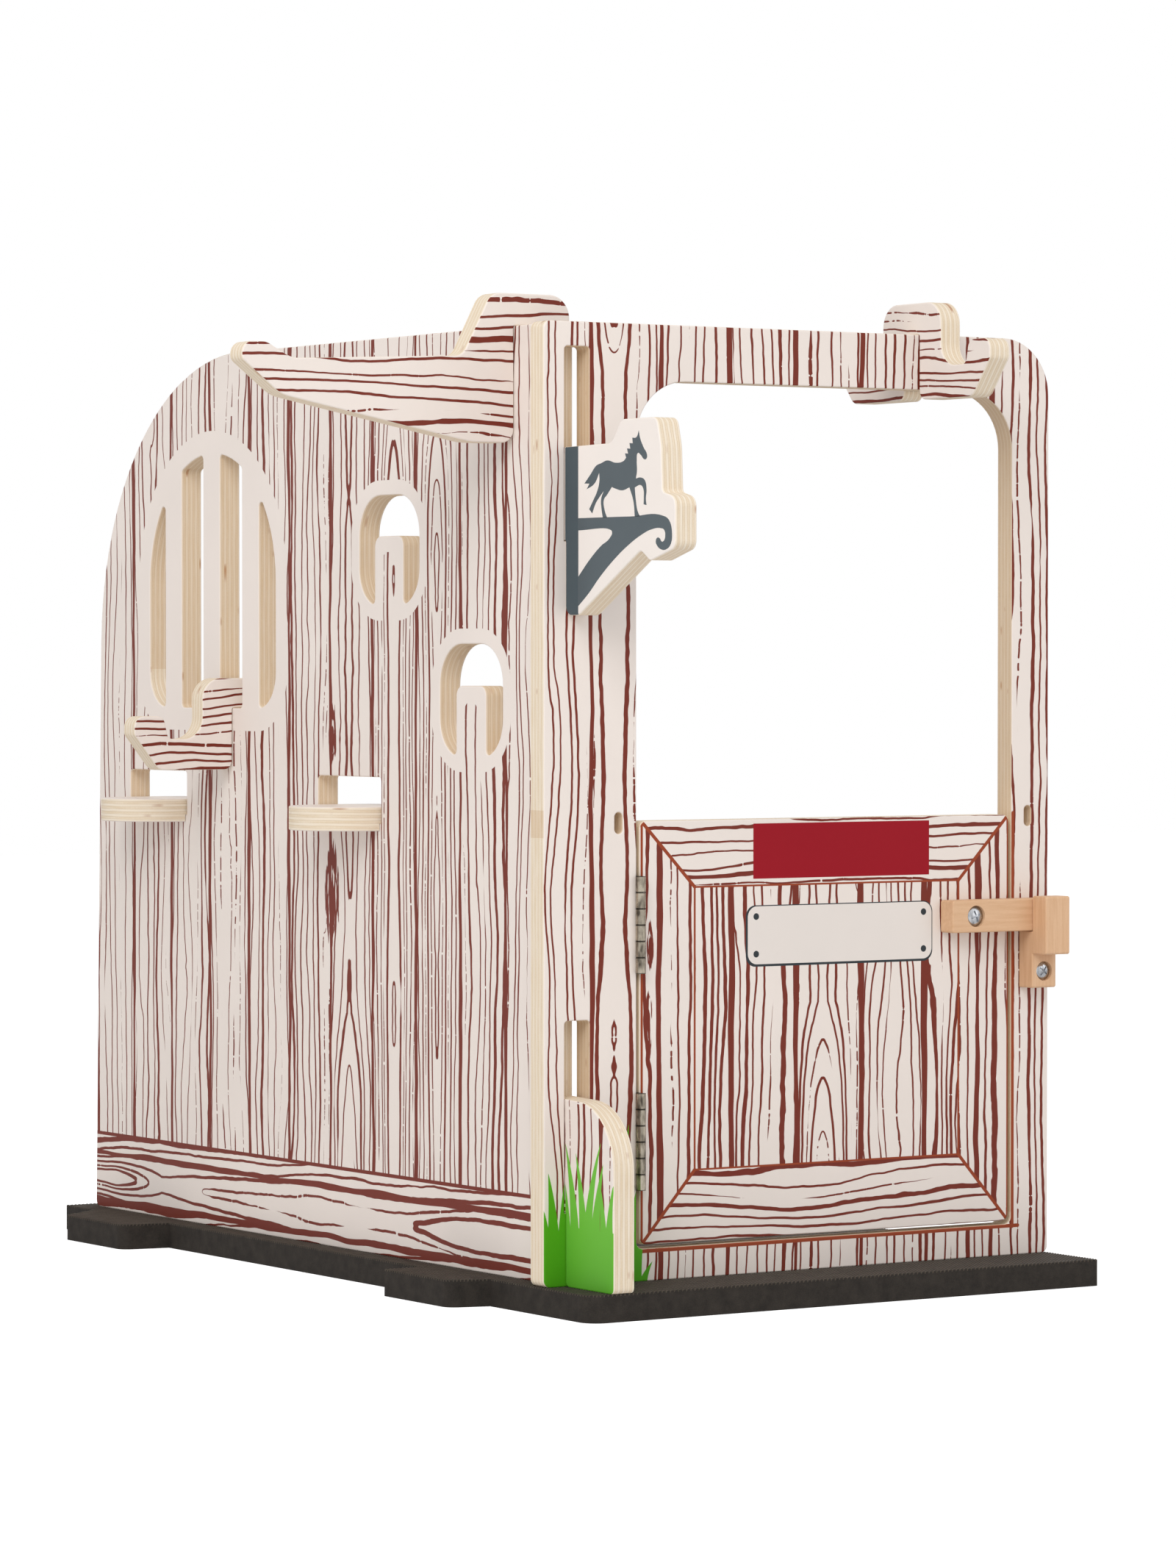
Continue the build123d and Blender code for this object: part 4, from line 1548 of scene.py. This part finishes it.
@dataclass
class CrossScrews:
    """Pan-head screws with a cross recess, for the latch arm and for its keeper."""

    recess_arm: float = 0.62
    recess_width: float = 0.2
    recess_depth: float = 0.5
    dome_spread: float = 1.12
    overlap: float = 0.2
    rounds: int = 64
    dome_rings: int = 32
    shank_rounds: int = 32
    screws: tuple[Screw, ...] = (
        Screw("latch_screw", "door", 0.35, 3.2, 2.5), Screw("keeper_screw", "base", 0.9, 2.7, 2.0),
    )

    def tool(self) -> NodeTool:
        """Build the tree that makes one screw along -Y, its head's underside at Place.

        Returns:
            The tree.
        """
        made = NodeTool("pan_head_screw", {
            "Head Radius": ("Float", 5.0 * MM), "Head Height": ("Float", 3.2 * MM),
            "Shank Radius": ("Float", 2.5 * MM), "Shank Length": ("Float", 18.0 * MM),
            "Turn": ("Float", 0.4), "Place": ("Vector", (0.0, 0.0, 0.0)), "Material": ("Material", None),
        })
        radius, height, length = (made.entry[label] for label in ("Head Radius", "Head Height", "Shank Length"))
        blank = made.add("GeometryNodeMeshCylinder", {"Vertices": self.rounds, "Radius": radius, "Depth": height})
        blank = made.moved(blank, Translation=made.vector(z=made.math("MULTIPLY", height, 0.5)))
        dome = made.add("GeometryNodeMeshUVSphere",
                        {"Segments": self.rounds, "Rings": self.dome_rings, "Radius": radius})
        squash = made.math("DIVIDE", height, radius)
        dome = made.moved(dome, Scale=made.vector(self.dome_spread, self.dome_spread, squash))
        head = made.add("GeometryNodeMeshBoolean", {1: [blank.outputs[0], dome.outputs[0]]},
                        operation="INTERSECT", solver="EXACT")
        long = made.math("MULTIPLY", radius, 2 * self.recess_arm)
        thin = made.math("MULTIPLY", radius, self.recess_width)
        lift = made.vector(z=made.math("MULTIPLY", height, 1.5 - self.recess_depth))
        arms = []
        for wide, deep in ((long, thin), (thin, long)):
            bar = made.add("GeometryNodeMeshCube", {"Size": made.vector(wide, deep, height)})
            arms.append(made.moved(bar, Translation=lift).outputs[0])
        cut = made.add("GeometryNodeMeshBoolean", {0: head.outputs[0], 1: arms},
                       operation="DIFFERENCE", solver="EXACT")
        shank = made.add("GeometryNodeMeshCylinder", {
            "Vertices": self.shank_rounds, "Radius": made.entry["Shank Radius"], "Depth": length,
        })
        drop = made.math("MULTIPLY", made.math("SUBTRACT", length, self.overlap * MM), -0.5)
        shank = made.moved(shank, Translation=made.vector(z=drop))
        both = made.add("GeometryNodeJoinGeometry", {0: [cut.outputs[0], shank.outputs[0]]})
        turned = made.moved(both, Rotation=made.vector(z=made.entry["Turn"]))
        made.close(made.moved(turned, Translation=made.entry["Place"], Rotation=(math.pi / 2, 0.0, 0.0)))
        return made

    def build(self, material: bpy.types.Material) -> None:
        """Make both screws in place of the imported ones.

        Args:
            material: The screws' steel.
        """
        made = self.tool()
        for screw in self.screws:
            low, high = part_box(screw.node)
            height = screw.head_height * MM
            seat = ((low.x + high.x) / 2, low.y + height, (low.z + high.z) / 2)
            piece = made.run(bpy.data.meshes.new(screw.node), screw.node + "_cross", {
                "Head Radius": (high.x - low.x) / 2, "Head Height": height, "Shank Radius": screw.shank_radius * MM,
                "Shank Length": high.y - seat[1], "Turn": screw.turn, "Place": seat, "Material": material,
            })
            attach(piece, screw.body)
            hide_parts(screw.node)
            log.info("built %s", piece.name)


@dataclass
class Mat:
    """The foam mat and the fine slanting ribs on its top."""

    pitch: float = 1.7
    slant: float = math.radians(47.0)
    rib: float = 0.62
    stand: float = 0.32
    rib_sides: int = 6
    level: float = 0.01
    foam: Foam = Foam("mat_foam", linear(40, 36, 33), linear(66, 60, 54))
    # The ribs are the mat's foam in a lighter copy: a painted highlight where light catches them.
    rib_foam: Foam = Foam("rib_foam", linear(70, 63, 56), linear(98, 89, 79))

    def top_edges(self, mesh: bpy.types.Mesh) -> list[tuple[Vector, Vector]]:
        """Find the outline of the mat's top face.

        Args:
            mesh: The mat's loose triangles.

        Returns:
            Its straight edges, in metres.
        """
        top = max(vertex.co.z for vertex in mesh.vertices)
        seen: dict[tuple, list[tuple[Vector, Vector]]] = {}
        for polygon in mesh.polygons:
            corners = [mesh.vertices[index].co for index in polygon.vertices]
            if any(corner.z < top - self.level * MM for corner in corners):
                continue
            for start, end in zip(corners, corners[1:] + corners[:1]):
                ends = sorted(tuple(round(value, 6) for value in point.xy) for point in (start, end))
                seen.setdefault(tuple(ends), []).append((start.copy(), end.copy()))
        return [pairs[0] for pairs in seen.values() if len(pairs) == 1]

    def rib_lines(self, edges: Sequence[tuple[Vector, Vector]]) -> bpy.types.Mesh:
        """Draw straight lines across the mat at the ribs' pitch, clipped to its outline.

        Args:
            edges: The outline's edges.

        Returns:
            A mesh of edges, one for each rib.
        """
        along = Vector((math.sin(self.slant), math.cos(self.slant), 0.0))
        across = Vector((along.y, -along.x, 0.0))
        offsets = [across.dot(point) for edge in edges for point in edge]
        height = edges[0][0].z + (self.stand - self.rib) * MM
        points: list[Vector] = []
        for index in range(int((max(offsets) - min(offsets)) / (self.pitch * MM))):
            offset = min(offsets) + (index + 0.5) * self.pitch * MM
            hits = []
            for start, end in edges:
                first, last = across.dot(start) - offset, across.dot(end) - offset
                if (first > 0) != (last > 0):
                    hits.append(along.dot(start.lerp(end, first / (first - last))))
            hits.sort()
            for near, far in zip(hits[::2], hits[1::2]):
                if far - near >= 2 * self.rib * MM:
                    for reach in (near, far):
                        point = across * offset + along * reach
                        points.append(Vector((point.x, point.y, height)))
        mesh = bpy.data.meshes.new("rib_lines")
        mesh.from_pydata(points, [(start, start + 1) for start in range(0, len(points), 2)], [])
        return mesh

    def build(self, node: bpy.types.Object) -> None:
        """Dress the mat and add its ribs.

        Args:
            node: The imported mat.
        """
        dress(node, self.foam.make())
        made = NodeTool("ribs", {"Rib Radius": ("Float", 0.6 * MM), "Material": ("Material", None)})
        lines = made.add("GeometryNodeMeshToCurve", {0: made.entry["Geometry"]})
        profile = made.add("GeometryNodeCurvePrimitiveCircle", {
            "Resolution": self.rib_sides, "Radius": made.entry["Rib Radius"],
        })
        made.close(made.add("GeometryNodeCurveToMesh", {
            0: lines.outputs[0], 1: profile.outputs[0], "Fill Caps": True,
        }))
        piece = made.run(self.rib_lines(self.top_edges(node.data)), "mat_ribs",
                         {"Rib Radius": self.rib * MM, "Material": self.rib_foam.make()})
        close_mesh(piece.data)
        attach(piece, "base")
        log.info("built %s with %d faces", piece.name, len(piece.data.polygons))


@dataclass(frozen=True)
class Lamp:
    """A square soft lamp: its place in millimetres, its size in metres and its power."""

    name: str
    where: tuple[float, float, float]
    size: float
    power: float


@dataclass
class Studio:
    """Pale floor, soft lights and the camera."""

    eye: tuple[float, float, float] = (-1515.5, -2382.7, 316.07)
    yaw: float = math.radians(32.912)
    pitch: float = math.radians(-1.225)
    lens: float = 128.25
    sensor: float = 36.0
    clip: Point = (0.05, 50.0)
    floor_reach: float = 6.0
    floor_grey: float = 0.86
    floor_glow: float = 0.6
    room_light: float = 0.62
    lamps: tuple[Lamp, ...] = (
        Lamp("key", (-1500.0, -1250.0, 1900.0), 1.6, 32.0), Lamp("fill", (1500.0, -1900.0, 1100.0), 1.8, 6.0),
    )
    lit: tuple[float, float, float] = (160.0, 200.0, 240.0)

    def aimed(self, name: str, data: bpy.types.ID, where: Vector, aim: Vector) -> bpy.types.Object:
        """Put a lamp or the camera into the scene.

        Args:
            name: The object's name.
            data: The lamp or camera.
            where: Its place, in metres.
            aim: The direction that it looks in.

        Returns:
            The new object.
        """
        item = linked(name, data)
        item.location = where
        item.rotation_mode = "QUATERNION"
        item.rotation_quaternion = aim.to_track_quat("-Z", "Y")
        return item

    def camera(self) -> None:
        """Set up the camera at the photograph's angle."""
        data = bpy.data.cameras.new("camera")
        data.sensor_width = self.sensor
        data.lens = self.lens
        data.clip_start, data.clip_end = self.clip
        aim = Vector((math.sin(self.yaw) * math.cos(self.pitch), math.cos(self.yaw) * math.cos(self.pitch),
                      math.sin(self.pitch)))
        bpy.context.scene.camera = self.aimed("camera", data, place(*self.eye), aim)

    def floor(self) -> None:
        """Lay a pale floor that shows white and still keeps the stable's shadow."""
        reach = self.floor_reach
        mesh = bpy.data.meshes.new("floor")
        mesh.from_pydata([(-reach, -reach, 0), (reach, -reach, 0), (reach, reach, 0), (-reach, reach, 0)], [],
                         [(0, 1, 2, 3)])
        material = bpy.data.materials.new("floor")
        material.use_nodes = True
        bench = Bench(material.node_tree)
        seen = bench.field("ShaderNodeLightPath", {})
        bench.surface({
            "Base Color": (*(self.floor_grey,) * 3, 1.0), "Roughness": 1.0, "Specular IOR Level": 0.0,
            "Emission Color": (1.0, 1.0, 1.0, 1.0), "Emission Strength": seen * self.floor_glow,
        })
        mesh.materials.append(material)
        linked("floor", mesh)

    def lights(self) -> None:
        """Add the soft lamps and an even room light."""
        world = bpy.data.worlds.new("room")
        bpy.context.scene.world = world
        world.use_nodes = True
        bench = Bench(world.node_tree)
        background = world.node_tree.nodes["Background"]
        bench.feed(background.inputs["Color"], (1.0, 1.0, 1.0, 1.0))
        rays = bench.add("ShaderNodeLightPath").outputs
        labels = ("Is Camera Ray", "Is Glossy Ray", "Is Transmission Ray")
        seen = bench.highest([Field(bench, rays[label]) for label in labels])
        bench.feed(background.inputs["Strength"], bench.mix(seen, self.room_light, 1.0))
        for lamp in self.lamps:
            data = bpy.data.lights.new(lamp.name, "AREA")
            data.shape = "SQUARE"
            data.size = lamp.size
            data.energy = lamp.power
            where = place(*lamp.where)
            self.aimed(lamp.name, data, where, place(*self.lit) - where)

    def build(self) -> None:
        """Build the camera, the floor and the lights."""
        self.camera()
        self.floor()
        self.lights()
        bpy.context.scene.view_settings.view_transform = "Standard"


def main() -> None:
    """Load the frame and dress every piece."""
    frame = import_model()
    nodes = frame["nodes"]
    groups = Groups()
    Walls().dress(nodes, groups)
    HungPieces().dress(nodes, groups)
    screw = Fittings().dress(nodes)
    CrossScrews().build(screw)
    Sign().build(PlainInk("sign_slate", Ink.SLATE).make())
    Mat().build(nodes["mat"])
    Studio().build()
    bpy.context.view_layer.update()


if __name__ == "__main__":
    main()
